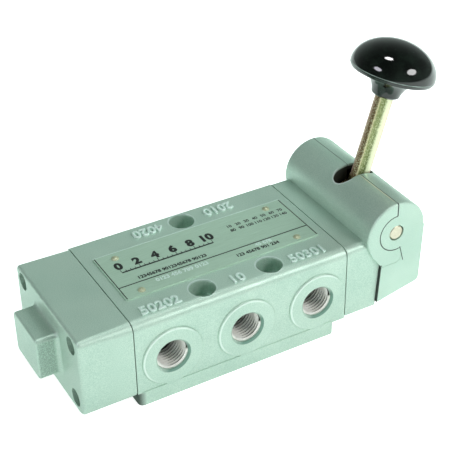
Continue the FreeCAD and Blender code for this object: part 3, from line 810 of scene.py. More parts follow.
@dataclass(frozen=True)
class PlatedRod(Finish):
    """Yellow-passivated drawn rod: its tint changes in long bands round the rod, which hold painted highlights and
    painted shade as well as the passivation's tint.

    Attributes:
        radius: Its radius.
        facing: The direction in the rod's own X and Y from which the bands are counted.
        tint_and_light_bands: Each band's place, -1 to 1 across the rod, and its tint, pale for painted highlights and
            dark for painted shade.
        wave: How far the bands' borders wander.
        fleck: The tint of the speckles.
        fleck_share: How much of that tint the brightest speckle has.
        grain: Speckles per metre.
        metallic: How much of the look is metal.
        roughness: Roughness between the speckles and on them.
        coat: Weight of the clear coat.
        relief: Height of the speckles in metres.
    """

    radius: float = 3.97 * MM
    facing: Span = (0.81, -0.59)
    tint_and_light_bands: tuple[tuple[float, Colour], ...] = (
        (-1.0, linear(214, 176, 168)), (-0.92, linear(146, 110, 84)), (-0.7, linear(104, 78, 46)),
        (-0.52, linear(112, 92, 52)), (-0.4, linear(240, 234, 186)), (-0.25, linear(158, 168, 106)),
        (0.2, linear(116, 132, 78)), (0.42, linear(236, 238, 200)), (0.78, linear(244, 240, 212)),
        (0.93, linear(226, 196, 176)), (1.0, linear(236, 214, 204)))
    wave: float = 0.08
    fleck: Colour = linear(236, 240, 196)
    fleck_share: float = 0.6
    grain: float = 1250.0
    metallic: float = 0.55
    roughness: Span = (0.42, 0.3)
    coat: float = 0.15
    relief: float = 0.02 * MM

    def looks(self, on: Surface) -> dict[str, object]:
        """Bands of tint and painted light counted across the rod, with speckles over them.

        Args:
            on: The material's surface.

        Returns:
            The shader's inputs by name, with underscores for spaces.
        """
        out = (on.x - PIN[0]) * math.cos(LEAN) - (on.z - PIN[1]) * math.sin(LEAN)
        across = out * self.facing[0] + on.y * self.facing[1]
        speckle = on.place(Effect.SKIN, Peel_Per_Metre=self.grain, Flake_Per_Metre=self.grain * 1.6)
        where = across / self.radius + speckle["Height"].ramp(0.3, 1.0, -self.wave, self.wave)
        ramp = on.add("ShaderNodeValToRGB")
        bands = ramp.color_ramp.elements
        while len(bands) < len(self.tint_and_light_bands):
            bands.new(0.5)
        for band, (place, tint) in zip(bands, self.tint_and_light_bands):
            band.position = (place + 1.0) / 2.0
            band.color = (*tint, 1.0)
        on.feed(ramp, Fac=where.ramp(-1.0, 1.0))
        flecks = speckle["Flake"].ramp(0.45, 0.9, 0.0, self.fleck_share)
        return {"Base_Color": on.mix(flecks, ramp.outputs["Color"], self.fleck),
                "Roughness": speckle["Flake"].between(*self.roughness), "Metallic": self.metallic,
                "Coat_Weight": self.coat, "Normal": on.bump(speckle["Height"], 0.3, self.relief)}


@dataclass(frozen=True)
class GlossMoulding(Finish):
    """Polished black moulding with a faint swirl of handling, and a painted highlight along the mould line at its rim.

    Attributes:
        colour: The moulding's colour.
        dust: The colour of faint dust.
        line: The colour of the painted highlight along the mould line.
        rim: Distances of the line's two sides from the lever's pin along the lever.
        soft: How they fade.
        line_share: How strong the line is on a clean and on a smudged place.
        roughness: Roughness of the two.
        smudges: Smudges per metre.
        coat: Weight of the clear coat.
        coat_roughness: Its roughness.
    """

    colour: Colour = (0.004, 0.0055, 0.0045)
    dust: Colour = (0.010, 0.016, 0.012)
    line: Colour = linear(170, 190, 182)
    rim: Span = (59.01 * MM, 59.29 * MM)
    soft: float = 0.05 * MM
    line_share: Span = (0.9, 0.35)
    roughness: Span = (0.07, 0.13)
    smudges: float = 150.0
    coat: float = 0.6
    coat_roughness: float = 0.05

    def looks(self, on: Surface) -> dict[str, object]:
        """Black with dust, and the painted highlight of the mould line at one distance along the lever.

        Args:
            on: The material's surface.

        Returns:
            The shader's inputs by name, with underscores for spaces.
        """
        smudge = on.place(Effect.SMUDGES, Per_Metre=self.smudges)["Mask"]
        up = (on.x - PIN[0]) * math.sin(LEAN) + (on.z - PIN[1]) * math.cos(LEAN)
        # Painted highlight along the mould line at the rim.
        line = up.band(*self.rim, self.soft) * smudge.between(*self.line_share)
        return {"Base_Color": on.mix(line, on.mix(smudge, self.colour, self.dust), self.line),
                "Roughness": smudge.between(*self.roughness), "Coat_Weight": self.coat,
                "Coat_Roughness": self.coat_roughness}


@dataclass(frozen=True)
class SoftMoulding(Finish):
    """Rubber, fibre sheet, ink or plain plastic: dull, with a fine even grain.

    Attributes:
        light: The lighter tone.
        dark: The darker tone.
        roughness: Its roughness.
        rougher: How much rougher it is on a grain.
        grain: Grains per metre.
        relief: Height of the grain in metres.
    """

    light: Colour = linear(46, 48, 48)
    dark: Colour = linear(26, 28, 28)
    roughness: float = 0.62
    rougher: float = 0.1
    grain: float = 2500.0
    relief: float = 0.03 * MM

    def looks(self, on: Surface) -> dict[str, object]:
        """Two tones in slow clouds.

        Args:
            on: The material's surface.

        Returns:
            The shader's inputs by name, with underscores for spaces.
        """
        skin = on.place(Effect.SKIN, Peel_Per_Metre=self.grain, Flake_Per_Metre=self.grain * 2.0)
        return {"Base_Color": on.mix(skin["Cloud"], self.dark, self.light),
                "Roughness": skin["Flake"].between(self.roughness, self.roughness + self.rougher),
                "Normal": on.bump(skin["Height"], 0.4, self.relief)}


@dataclass(frozen=True)
class SatinPlate(Finish):
    """Printed sheet metal with a fine lengthwise satin grain.

    Attributes:
        light: The sheet's colour.
        dark: The colour in the grain.
        marks: Marks of the grain per metre along X, Y and Z.
        relief: Height of the grain in metres.
        smudges: Smudges per metre.
        roughness: Roughness of the clean and of the smudged place.
        metallic: How much of the look is metal.
    """

    light: Colour = linear(196, 222, 204)
    dark: Colour = linear(174, 202, 182)
    marks: Point = (120.0, 6000.0, 400.0)
    relief: float = 0.008 * MM
    smudges: float = 70.0
    roughness: Span = (0.42, 0.34)
    metallic: float = 0.3

    def looks(self, on: Surface) -> dict[str, object]:
        """Lengthwise grain with faint handling marks.

        Args:
            on: The material's surface.

        Returns:
            The shader's inputs by name, with underscores for spaces.
        """
        grain = on.place(Effect.SCRATCHES, Along_X=self.marks[0], Along_Y=self.marks[1], Along_Z=self.marks[2])
        smudge = on.place(Effect.SMUDGES, Per_Metre=self.smudges)["Mask"]
        return {"Base_Color": on.mix(grain["Wear"], self.dark, self.light), "Metallic": self.metallic,
                "Roughness": smudge.between(*self.roughness), "Normal": on.bump(grain["Height"], 0.4, self.relief)}


PAINTED = (
    # Painted highlights on the mounting holes' rims.
    HoleRimHighlights(linear(226, 244, 238), 0.85, matt=False),
    # Painted shade in the front ports' mouths.
    PortLightCrescent(linear(96, 140, 124), 0.85),
    # Painted highlight on the rims of the front ports' lands.
    PortLightCrescent(linear(236, 250, 242), 0.75, matt=False, ring=(12.3 * MM, 12.95 * MM), soft=0.15 * MM,
                 face=(-31.0 * MM, -30.8 * MM), slant=-1.0, grows=(-4.0 * MM, 6.0 * MM)),
    # Painted shadow on the foot's left end.
    FootShade(linear(34, 46, 40), 0.9),
)
OPERATED = (
    # Painted shade along the parting lines.
    PartingLineShade(linear(30, 38, 34), 0.95),
    # Painted reflection of the rod beside the hub's seam.
    SeamEdgeReflection(linear(250, 246, 214), 0.7, matt=False),
    # Painted highlight on the rim at the slot's closed end.
    SlotRimHighlight(linear(232, 246, 240), 0.9, matt=False),
    # Painted shade inside the slot.
    SlotPaintedShade(linear(34, 36, 28)),
)
FINISHES: tuple[Finish, ...] = (
    CastPaint("paint_silver_green", shades=PAINTED),
    CastPaint("paint_operator", shades=OPERATED),
    CastPaint("paint_cap", shades=(RoughSide(linear(112, 138, 126), 0.55, False, 1.2),)),
    # Paint for the raised numbers, lighter than the body's: a painted highlight on their proud strokes. The plate's
    # stamping and its painted edge highlight take it too.
    CastPaint("paint_figures", light=linear(236, 250, 244), dark=linear(206, 232, 222), metallic=0.3),
    # The thread and its root darken deep in the ports as painted shade.
    BareMetal("cut_thread", light=linear(254, 254, 250), dark=linear(232, 230, 222), roughness=(0.3, 0.36),
              marks=(300.0, 300.0, 300.0), stain_share=0.0, metallic=0.2, deep=(17.5 * MM, 22.5 * MM)),
    BareMetal("thread_root", light=linear(48, 46, 40), dark=linear(26, 25, 22), roughness=(0.4, 0.5),
              stain_share=0.0, metallic=0.3, deep=(17.5 * MM, 27.0 * MM)),
    BareMetal("ground_pin", light=linear(244, 238, 218), dark=linear(216, 208, 184), roughness=(0.3, 0.42),
              metallic=0.6),
    PlatedRod("plated_rod"),
    BareMetal("drive_rivet", light=linear(216, 222, 192), dark=linear(178, 186, 152), roughness=(0.34, 0.5),
              metallic=0.45),
    BareMetal("yellow_zinc", light=linear(232, 226, 172), dark=linear(170, 162, 98), roughness=(0.24, 0.36),
              marks=(3400.0, 3400.0, 900.0), lean=-LEAN, stain=linear(196, 150, 128), stain_share=0.4),
    BareMetal("dark_oxide", light=linear(92, 96, 98), dark=linear(48, 50, 52), roughness=(0.35, 0.5)),
    BareMetal("turned_brass", light=linear(206, 190, 134), dark=linear(160, 138, 84), roughness=(0.26, 0.4)),
    BareMetal("honed_alloy", light=linear(196, 198, 200), dark=linear(150, 152, 156)),
    BareMetal("polished_ball", light=linear(226, 226, 228), dark=linear(206, 206, 210), roughness=(0.06, 0.12)),
    BareMetal("spring_wire", light=linear(140, 140, 142), dark=linear(96, 96, 98)),
    GlossMoulding("polished_black"),
    SoftMoulding("gasket_sheet"),
    SoftMoulding("seal_nitrile", light=linear(38, 38, 38), dark=linear(22, 22, 22), roughness=0.5),
    SoftMoulding("washer_natural", light=linear(232, 228, 210), dark=linear(214, 208, 188), roughness=0.45),
    SoftMoulding("spacer_grey", light=linear(96, 96, 98), dark=linear(76, 76, 78), roughness=0.5),
    SatinPlate("printed_plate"),
    SoftMoulding("plate_ink", light=linear(40, 44, 42), dark=linear(24, 26, 26), roughness=0.45),
)
NODES_BY_FINISH: dict[str, tuple[str, ...]] = {
    "paint_silver_green": ("valve_body",),
    "paint_operator": ("lever_bracket", "lever_cover"),
    "paint_cap": ("end_cap",),
    "gasket_sheet": ("end_cap_gasket", "bracket_gasket"),
    "dark_oxide": ("end_cap_screws", "bracket_screws", "cover_screws"),
    "ground_pin": ("pivot_pin",),
    "washer_natural": ("hub_washers",),
    "seal_nitrile": ("spool_seals", "wiper_seal"),
    "spacer_grey": ("seal_spacers", "end_bushings"),
    "spring_wire": ("wiper_circlip", "sleeve_circlip", "detent_spring"),
    "honed_alloy": ("detent_sleeve", "spool"),
    "printed_plate": ("nameplate",),
    "drive_rivet": ("nameplate_rivets",),
    "yellow_zinc": ("lever_hub",),
    "plated_rod": ("lever_rod",),
    "polished_black": ("lever_knob",),
    "turned_brass": ("knob_insert",),
    "polished_ball": ("detent_balls",),
}


class Paints:
    """Every material of the valve, built once."""

    def __init__(self) -> None:
        """Builds the shared effects and all the materials."""
        Effects().build()
        self.made = {finish.name: finish.build() for finish in FINISHES}

    def cover(self, nodes: dict[str, bpy.types.Object]) -> None:
        """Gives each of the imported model's nodes its finish.

        Args:
            nodes: The nodes by name.
        """
        finishes = {node: finish for finish, names in NODES_BY_FINISH.items() for node in names}
        for name, node in nodes.items():
            for slot in node.material_slots:
                slot.material = self.made[finishes[name]]
            LOG.info("%s gets %s", name, finishes[name])


# Modelling


def deselect() -> None:
    """Leaves edit mode and deselects everything."""
    if bpy.context.mode != "OBJECT":
        bpy.ops.object.mode_set(mode="OBJECT")
    bpy.ops.object.select_all(action="DESELECT")


def choose(*objects: bpy.types.Object) -> None:
    """Selects these objects alone, the first one active."""
    deselect()
    for item in objects:
        item.select_set(True)
    bpy.context.view_layer.objects.active = objects[0]


@contextmanager
def edited(piece: bpy.types.Object) -> Iterator[None]:
    """Opens a piece in edit mode with all of it selected, and leaves the mode at the end.

    Args:
        piece: A mesh object, which stays chosen.

    Yields:
        Nothing.
    """
    choose(piece)
    bpy.ops.object.mode_set(mode="EDIT")
    bpy.ops.mesh.select_all(action="SELECT")
    yield
    bpy.ops.object.mode_set(mode="OBJECT")


def settle(piece: bpy.types.Object) -> None:
    """Puts a piece's place into its mesh, so that the object sits at the origin."""
    choose(piece)
    bpy.ops.object.transform_apply(location=True, rotation=True, scale=True)


def close_shell(piece: bpy.types.Object, merge: float = 1e-6, smooth_deg: float | None = None) -> None:
    """Merges doubles, points the faces outwards and shades them.

    Args:
        piece: A mesh object.
        merge: The distance under which points are one.
        smooth_deg: The angle up to which faces are shaded smooth, or None.
    """
    with edited(piece):
        bpy.ops.mesh.remove_doubles(threshold=merge)
        bpy.ops.mesh.normals_make_consistent(inside=False)
    if smooth_deg is not None:
        bpy.ops.object.shade_smooth_by_angle(angle=math.radians(smooth_deg))


def dress(piece: bpy.types.Object, name: str, material: bpy.types.Material, body: Body) -> None:
    """Gives a new piece its name, its material and the body that it rides on.

    Args:
        piece: The finished piece.
        name: Its name.
        material: Its material.
        body: The body that carries it.
    """
    piece.name = piece.data.name = name
    piece.data.materials.clear()
    piece.data.materials.append(material)
    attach(piece, body.value)
    LOG.info("%s: %d faces on %s", piece.name, len(piece.data.polygons), body.value)


@dataclass
class PortThreads:
    """The cut pipe threads in the five ports.

    Attributes:
        pitch: From one crest to the next.
        root_r: Radius at the mouth between the crests.
        crest_r: Radius at the mouth on the crests.
        base: Width of the ridge at the wall.
        skin: Thickness of the wall between the turns.
        length: How deep the thread runs.
        taper: Share of the radius that is lost over the length.
        steps: Faces round one turn.
        merge: The distance under which the thread's points are one.
        smooth_deg: The angle up to which faces are shaded smooth.
        start: Distance from the middle plane at which the threads start.
        front_x: The front ports' places along the body.
        rear_x: The rear ports' places along the body.
    """

    pitch: float = 1.411 * MM
    root_r: float = 6.82 * MM
    crest_r: float = 6.05 * MM
    base: float = 0.92 * MM
    skin: float = 0.03 * MM
    length: float = 12.0 * MM
    taper: float = 0.045
    steps: int = 56
    merge: float = 1e-7
    smooth_deg: float = 35.0
    start: float = 29.8 * MM
    front_x: tuple[float, ...] = (-PORT_PITCH, 0.0, PORT_PITCH)
    rear_x: tuple[float, ...] = (-PORT_PITCH / 2.0, PORT_PITCH / 2.0)

    def build(self, paints: Paints) -> None:
        """Models one ridge and one root, and copies them to each port.

        Args:
            paints: The materials.
        """
        shapes = (("port_thread", self.ridge(), "cut_thread"), ("port_root", self.root(), "thread_root"))
        places = [(x, 1.0) for x in self.front_x] + [(x, -1.0) for x in self.rear_x]
        for name, first, paint in shapes:
            for number, (x, inward) in enumerate(places, start=1):
                piece = first.copy()
                piece.data = first.data.copy()
                bpy.context.scene.collection.objects.link(piece)
                piece.rotation_euler = (-math.pi / 2.0 * inward, 0.0, 0.0)
                piece.location = (x, -self.start * inward, PORT_Z)
                settle(piece)
                dress(piece, f"{name}_{number}", paints.made[paint], Body.VALVE)
            bpy.data.objects.remove(first)

    def ridge(self) -> bpy.types.Object:
        """The helical ridge, its axis on Z, running from the mouth at 0 upwards.

        Returns:
            The ridge as a closed shell, half of it buried in the wall.
        """
        deselect()
        tall = self.root_r - self.crest_r
        bpy.ops.mesh.primitive_circle_add(vertices=4, radius=tall, location=(self.root_r, 0.0, 0.0),
                                          rotation=(math.pi / 2.0, 0.0, 0.0))
        ridge = bpy.context.active_object
        settle(ridge)
        with edited(ridge):
            bpy.ops.transform.resize(value=(1.0, 1.0, self.base / 2.0 / tall), center_override=(self.root_r, 0.0, 0.0))
        screw = ridge.modifiers.new("thread", "SCREW")
        screw.axis = "Z"
        screw.screw_offset = self.pitch
        screw.iterations = int(self.length / self.pitch)
        screw.steps = screw.render_steps = self.steps
        screw.use_merge_vertices = True
        screw.merge_threshold = self.merge
        self.draft(ridge)
        with edited(ridge):
            bpy.ops.mesh.fill_holes(sides=4)
        close_shell(ridge, self.merge, self.smooth_deg)
        return ridge

    def root(self) -> bpy.types.Object:
        """The wall between the ridge's turns, with its axis on Z and its mouth at 0.

        Returns:
            The wall as a closed thin shell.
        """
        deselect()
        bpy.ops.mesh.primitive_cylinder_add(vertices=self.steps, radius=self.root_r, depth=self.length,
                                            end_fill_type="NOTHING", location=(0.0, 0.0, self.length / 2.0))
        wall = bpy.context.active_object
        settle(wall)
        skin = wall.modifiers.new("wall", "SOLIDIFY")
        skin.thickness = self.skin
        skin.offset = -1.0
        self.draft(wall)
        close_shell(wall, self.merge, self.smooth_deg)
        return wall

    def draft(self, piece: bpy.types.Object) -> None:
        """Narrows a piece towards its inner end and applies its modifiers in order.

        Args:
            piece: The ridge or the wall.
        """
        taper = piece.modifiers.new("taper", "SIMPLE_DEFORM")
        taper.deform_method = "TAPER"
        taper.deform_axis = "Z"
        taper.factor = -self.taper
        choose(piece)
        for modifier in list(piece.modifiers):
            bpy.ops.object.modifier_apply(modifier=modifier.name)


@dataclass(frozen=True)
class Figures:
    """A row of plain numbers.

    Attributes:
        text: The numbers.
        place: The row's centre along X and Y.
        height: Height of a numeral.
        weight: How far each stroke is thickened to both sides.
        soft: Rounding of their edges.
        fine: Steps along each curve.
        numeral_share: The share of the font's size that a numeral is high.
        least: The least share of the thickness that is left between two rounded edges.
    """

    text: str
    place: Span
    height: float
    weight: float = 0.06 * MM
    soft: float = 0.0
    fine: int = 4
    numeral_share: float = 0.7
    least: float = 0.2

    def build(self, thick: float, foot: float, turn: float = 0.0) -> bpy.types.Object:
        """Models the row as a solid.

        Args:
            thick: How thick the solid is.
            foot: The height of its underside.
            turn: Its turn about the upright, in radians.

        Returns:
            The mesh object at its place.
        """
        deselect()
        bpy.ops.object.text_add(location=(0.0, 0.0, 0.0))
        letter = bpy.context.active_object.data
        letter.body = self.text
        letter.size = self.height / self.numeral_share
        letter.align_x = letter.align_y = "CENTER"
        letter.extrude = max(thick / 2.0 - self.soft, thick / 2.0 * self.least)
        letter.bevel_depth = self.soft
        letter.bevel_resolution = 2 if self.soft else 0
        letter.offset = self.weight - self.soft * 0.5
        letter.resolution_u = self.fine
        bpy.ops.object.convert(target="MESH")
        piece = bpy.context.active_object
        bpy.ops.object.origin_set(type="ORIGIN_GEOMETRY", center="BOUNDS")
        piece.rotation_euler = (0.0, 0.0, turn)
        piece.location = (*self.place, foot + thick / 2.0)
        settle(piece)
        return piece


@dataclass
class CastNumbers:
    """Plain numbers that stand proud of the body's top face, one at each port.

    Attributes:
        front: Each front number's text and place.
        rear: Each rear number's text and place: these read from behind.
        sink: How far the numbers reach into the face.
        proud: How far they stand up.
        height: Height of a numeral.
        soft: Rounding of their edges.
        weight: How far their strokes are thickened.
        fine: Steps along each curve.
        smooth_deg: The angle up to which faces are shaded smooth.
    """

    front: tuple[tuple[str, Span], ...] = (
        ("50202", (-34.6 * MM, -24.2 * MM)), ("10", (0.0, -24.2 * MM)), ("50301", (31.8 * MM, -24.2 * MM)))
    rear: tuple[tuple[str, Span], ...] = (("4020", (-15.8 * MM, 23.4 * MM)), ("2010", (17.6 * MM, 23.4 * MM)))
    sink: float = 0.1 * MM
    proud: float = 0.7 * MM
    height: float = 4.8 * MM
    soft: float = 0.15 * MM
    weight: float = 0.1 * MM
    fine: int = 6
    smooth_deg: float = 40.0

    def build(self, paints: Paints) -> None:
        """Models each number at its place.

        Args:
            paints: The materials.
        """
        for row, turn in ((self.front, 0.0), (self.rear, math.pi)):
            for text, place in row:
                figures = Figures(text, place, self.height, self.weight, self.soft, self.fine)
                piece = figures.build(self.sink + self.proud, TOP_Z - self.sink, turn)
                close_shell(piece, smooth_deg=self.smooth_deg)
                dress(piece, f"cast_number_{text}", paints.made["paint_figures"], Body.VALVE)


@dataclass(frozen=True)
class Ruler:
    """The plate's main scale: a heavy base line, ticks and bold numbers.

    Attributes:
        ends: X of the base line's two ends.
        base: Y of its two sides.
        half: Half of a tick's width.
        ticks: How many spaces the ticks make.
        every: Every so many of them, a tick is long.
        tall: Heights of a long and of a short tick.
        numbers: How many numbers stand over it.
        spaces: How many of the numbers' spaces the base line is long.
        shift: How far the numbers are moved along, in their spaces.
        row: Y of the numbers' centre.
        height: Their height.
        weight: Weight of their strokes.
    """

    ends: Span = (-38.0 * MM, 3.5 * MM)
    base: Span = (1.4 * MM, 2.2 * MM)
    half: float = 0.14 * MM
    ticks: int = 20
    every: int = 4
    tall: Span = (1.5 * MM, 0.8 * MM)
    numbers: int = 6
    spaces: float = 5.12
    shift: float = 0.06
    row: float = 6.5 * MM
    height: float = 4.3 * MM
    weight: float = 0.34 * MM

    def along(self, share: float) -> float:
        """X at this share of the base line's length."""
        return self.ends[0] + (self.ends[1] - self.ends[0]) * share

    def build(self, plate: "PlatePrint") -> None:
        """Adds the scale to the plate's marks.

        Args:
            plate: The plate's marks.
        """
        plate.bar(self.ends, self.base)
        for tick in range(self.ticks + 1):
            x = self.along(tick / self.ticks)
            tall = self.tall[0] if tick % self.every == 0 else self.tall[1]
            plate.bar((x - self.half, x + self.half), (self.base[1], self.base[1] + tall))
        for count in range(self.numbers):
            place = (self.along((count + self.shift) / self.spaces), self.row)
            plate.write(Figures(str(2 * count), place, self.height, self.weight))


@dataclass
class PlatePrint:
    """The marks on the plate: a scale, rules and rows of numbers in ink, a pale stamping and a painted highlight along
    the rear edge.

    Attributes:
        surface_z: The plate's upper face.
        thick: Thickness of a mark.
        sides: X of the plate's left and right edges.
        ends: Y of its front and rear edges.
        inset: How far the ink stands in from the edges.
        line: Width of the ink's two upright lines.
        rule: Y of the two sides of the rule across the plate.
        bright: Width of the painted highlight along the rear edge.
        table_x: X of the small table's first column and the step to the next.
        table_y: Y of its rows.
        columns: How many numbers a row of it has.
        table_height: Their height.
        printed: The printed rows.
        stamped: The stamped rows.
        parts: The marks of the piece that is being made.
    """

    surface_z: float = 40.5 * MM
    thick: float = 0.02 * MM
    sides: Span = (-44.4 * MM, 43.9 * MM)
    ends: Span = (-15.3 * MM, 16.3 * MM)
    inset: float = 0.4 * MM
    line: float = 0.4 * MM
    rule: Span = (-7.3 * MM, -6.75 * MM)
    bright: float = 0.34 * MM
    table_x: Span = (15.0 * MM, 4.1 * MM)
    table_y: Span = (8.8 * MM, 5.6 * MM)
    columns: int = 7
    table_height: float = 1.7 * MM
    printed: tuple[Figures, ...] = (
        Figures("12345678 9012345678 90123", (-18.6 * MM, -4.4 * MM), 1.8 * MM, 0.11 * MM),
        Figures("123 45678 901 234", (17.0 * MM, -11.4 * MM), 1.8 * MM, 0.1 * MM),
    )
    stamped: tuple[Figures, ...] = (
        Figures("0123 456 789 0123", (-17.0 * MM, -9.4 * MM), 2.1 * MM, 0.12 * MM),
        Figures("45 678", (21.0 * MM, -8.6 * MM), 1.9 * MM, 0.12 * MM),
    )
    parts: list[bpy.types.Object] = field(default_factory=list)

    def bar(self, across: Span, along: Span) -> None:
        """Adds a flat bar.

        Args:
            across: X of its two sides.
            along: Y of its two sides.
        """
        deselect()
        centre = (sum(across) / 2.0, sum(along) / 2.0, self.surface_z + self.thick / 2.0)
        size = (across[1] - across[0], along[1] - along[0], self.thick)
        bpy.ops.mesh.primitive_cube_add(size=1.0, location=centre, scale=size)
        self.parts.append(bpy.context.active_object)

    def write(self, *rows: Figures) -> None:
        """Adds rows of numbers."""
        self.parts.extend(row.build(self.thick, self.surface_z) for row in rows)

    def join(self, name: str, material: bpy.types.Material) -> None:
        """Makes one piece of the marks so far.

        Args:
            name: The piece's name.
            material: Its material.
        """
        choose(*self.parts)
        bpy.ops.object.join()
        piece = bpy.context.active_object
        settle(piece)
        close_shell(piece)
        dress(piece, name, material, Body.VALVE)
        self.parts = []

    def build(self, paints: Paints) -> None:
        """Prints the plate, paints a highlight along its rear edge and stamps its pale rows.

        Args:
            paints: The materials.
        """
        left, right = self.sides[0] + self.inset, self.sides[1] - self.inset
        ends = (self.ends[0] + self.inset, self.ends[1] - self.inset)
        self.bar((left, left + self.line), ends)
        self.bar((right - self.line, right), ends)
        self.bar((left, right), self.rule)
        Ruler().build(self)
        for row, y in enumerate(self.table_y):
            for column in range(self.columns):
                place = (self.table_x[0] + self.table_x[1] * column, y)
                self.write(Figures(str(10 * (column + 1 + self.columns * row)), place, self.table_height))
        self.write(*self.printed)
        self.join("plate_print", paints.made["plate_ink"])
        # A painted highlight along the plate's rear edge, in the figures' lighter paint.
        self.bar(self.sides, (self.ends[1] - self.bright, self.ends[1]))
        self.write(*self.stamped)
        self.join("plate_stamping", paints.made["paint_figures"])


# Studio


@dataclass(frozen=True)
class Lamp:
    """A soft area lamp.

    Attributes:
        name: Its name.
        place: Where it stands.
        target: What it points at.
        width: Its width.
        height: Its height.
        power: Its power in watts.
        lights: Whether it lights the object, or is only there for the gloss to show.
        tint: The colour of its light.
    """

    name: str
    place: Point
    target: Point
    width: float
    height: float
    power: float
    lights: bool = True
    tint: Colour = WHITE

    def build(self) -> None:
        """Adds the lamp, which lights the object or else shows in its gloss."""
        data = bpy.data.lights.new(self.name, "AREA")
        data.shape = "ELLIPSE"
        data.size = self.width
        data.size_y = self.height
        data.energy = self.power
        data.color = self.tint
        lamp = bpy.data.objects.new(self.name, data)
        bpy.context.scene.collection.objects.link(lamp)
        lamp.location = self.place
        lamp.visible_diffuse = self.lights
        lamp.visible_glossy = not self.lights
        lamp.rotation_euler = (Vector(self.target) - Vector(self.place)).to_track_quat("-Z", "Y").to_euler()


@dataclass(frozen=True)
class PhotoCamera:
    """The camera at the photograph's viewpoint.

    Attributes:
        focal_px: Focal length in pixels of the photograph.
        sensor: Sensor width in millimetres.
        clip: The nearest and the farthest distance it sees.
        place: Where it stands.
        turn_deg: Turn about the valve's upright axis.
        tilt_deg: Tilt down.
        roll_deg: Roll about the line of sight.
    """

    focal_px: float = 1230.0
    sensor: float = 36.0
    clip: Span = (0.01, 20.0)
    place: Point = (-0.19503, -0.36476, 0.32573)
    turn_deg: float = 29.11
    tilt_deg: float = -56.42
    roll_deg: float = 1.05

    def build(self) -> None:
        """Adds the camera and makes it the scene's."""
        data = bpy.data.cameras.new("photo_camera")
        data.sensor_width = self.sensor
        data.lens = self.focal_px * self.sensor / IMAGE_PX
        data.clip_start, data.clip_end = self.clip
        camera = bpy.data.objects.new("photo_camera", data)
        bpy.context.scene.collection.objects.link(camera)
        look = (Matrix.Rotation(math.radians(self.roll_deg), 3, "Z")
                @ Matrix.Rotation(math.radians(self.tilt_deg), 3, "X")
                @ Matrix.Rotation(math.radians(self.turn_deg), 3, "Z"))
        camera.matrix_world = Matrix.Translation(self.place) @ look.transposed().to_4x4()
        bpy.context.scene.camera = camera


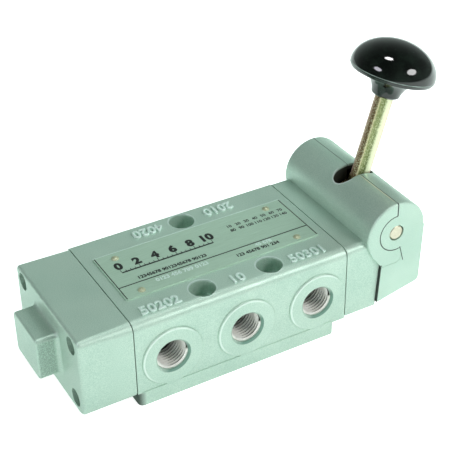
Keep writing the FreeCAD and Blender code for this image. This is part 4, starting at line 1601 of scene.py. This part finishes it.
@dataclass(frozen=True)
class Studio:
    """Pale floor, white background and plain soft light.

    Attributes:
        floor_size: Width of the floor.
        floor_tone: Its grey.
        floor_glow: How much of the background's white it adds for the camera.
        floor_mirror: How much of it polished surfaces show.
        sky_low: Light from the horizon.
        sky_high: Light from overhead.
        sky_top: How high the light has faded to the one from overhead.
        sky_tint: Colour of the sky's light.
        mirror_front: What polished surfaces show of the backdrop in front.
        mirror_back: What they show of the backdrop behind.
        mirror_left: How much dimmer they show its left side.
        mirror_x: Between which of the view's directions the left side ends.
        mirror_y: Between which of them the backdrop behind begins.
        mirror_z: Between which of them they show it fade overhead.
        lamps: The lamps.
    """

    floor_size: float = 6.0
    floor_tone: float = 0.82
    floor_glow: float = 0.84
    floor_mirror: float = 0.5
    sky_low: float = 0.6
    sky_high: float = 0.16
    sky_top: float = 0.8
    sky_tint: Colour = (0.86, 1.0, 0.95)
    mirror_front: float = 0.14
    mirror_back: float = 0.45
    mirror_left: float = 0.25
    mirror_x: Span = (-0.8, 0.1)
    mirror_y: Span = (0.1, 0.9)
    mirror_z: Span = (0.05, 0.9)
    lamps: tuple[Lamp, ...] = (
        Lamp("key", (0.59, -0.80, 0.74), (0.0, 0.0, 0.04), 0.42, 0.3, 5.9),
        Lamp("key_card", (0.575, -0.78, 0.722), (0.0, 0.0, 0.04), 0.54, 0.37, 4.2, lights=False),
        Lamp("low_front", (-0.1, -1.15, 0.22), (0.0, 0.0, 0.02), 1.0, 0.4, 2.3),
        Lamp("low_left", (-1.05, -0.3, 0.14), (0.0, 0.0, 0.02), 0.6, 0.3, 3.6),
        Lamp("right", (1.0, 0.1, 0.4), (0.05, 0.0, 0.04), 0.5, 0.4, 3.8, tint=(0.84, 1.0, 0.94)),
        Lamp("back_right", (0.55, 0.4, 0.95), (0.02, 0.0, 0.04), 0.5, 0.4, 4.7, tint=(0.8, 1.0, 0.94)),
        Lamp("left_card", (-0.74, -0.14, 0.73), (0.0, 0.0, 0.04), 0.38, 0.29, 2.2, lights=False, tint=(0.92, 0.9, 1.0)),
        Lamp("overhead_card", (0.13, 0.05, 1.15), (0.08, 0.0, 0.1), 0.29, 0.19, 2.6, lights=False),
    )

    def build(self) -> None:
        """Builds the floor, the world and the lamps."""
        self.floor()
        self.world()
        for lamp in self.lamps:
            lamp.build()
        bpy.context.scene.view_settings.view_transform = "Standard"

    def floor(self) -> None:
        """A plain pale floor that is white to the camera, keeps the shadow and is clear from below."""
        deselect()
        bpy.ops.mesh.primitive_plane_add(size=self.floor_size, location=(0.0, 0.0, 0.0))
        floor = bpy.context.active_object
        floor.name = "floor"
        material = bpy.data.materials.new("studio_floor")
        tree = Tree.of(material)
        seen, glossy = tree.rays()
        matt = tree.add("ShaderNodeBsdfDiffuse")
        tree.feed(matt, Color=(self.floor_tone, self.floor_tone, self.floor_tone))
        glow = tree.add("ShaderNodeEmission")
        tree.feed(glow, Strength=seen * self.floor_glow + glossy * self.floor_mirror,
                  Color=tree.mix(glossy, WHITE, self.sky_tint))
        top = tree.add("ShaderNodeAddShader", matt.outputs[0], glow.outputs[0])
        clear = tree.add("ShaderNodeBsdfTransparent")
        below = tree.add("ShaderNodeNewGeometry").outputs["Backfacing"]
        side = tree.add("ShaderNodeMixShader", below, top.outputs[0], clear.outputs[0])
        tree.feed(tree.add("ShaderNodeOutputMaterial"), Surface=side.outputs[0])
        floor.data.materials.append(material)

    def world(self) -> None:
        """White to the camera, and a soft sky that is dimmer overhead for everything else."""
        world = bpy.data.worlds.new("studio")
        bpy.context.scene.world = world
        tree = Tree.of(world)
        x, y, z = tree.split(tree.add("ShaderNodeTexCoord").outputs["Generated"])
        seen, glossy = tree.rays()
        mirrored = (y.ramp(*self.mirror_y, self.mirror_front, self.mirror_back)
                    * z.ramp(*self.mirror_z, 1.0, self.sky_high) * x.ramp(*self.mirror_x, self.mirror_left, 1.0))
        sky = z.ramp(0.0, self.sky_top, self.sky_low, self.sky_high) * (1.0 - glossy) + mirrored * glossy
        light = tree.add("ShaderNodeBackground")
        tree.feed(light, Strength=seen + (1.0 - seen) * sky, Color=tree.mix(seen, self.sky_tint, WHITE))
        tree.feed(tree.add("ShaderNodeOutputWorld"), Surface=light.outputs[0])


def main() -> None:
    """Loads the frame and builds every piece."""
    logging.basicConfig(level=logging.INFO, format="%(name)s %(message)s")
    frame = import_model()
    Studio().build()
    PhotoCamera().build()
    paints = Paints()
    paints.cover(frame["nodes"])
    PortThreads().build(paints)
    CastNumbers().build(paints)
    PlatePrint().build(paints)
    deselect()


if __name__ == "__main__":
    main()
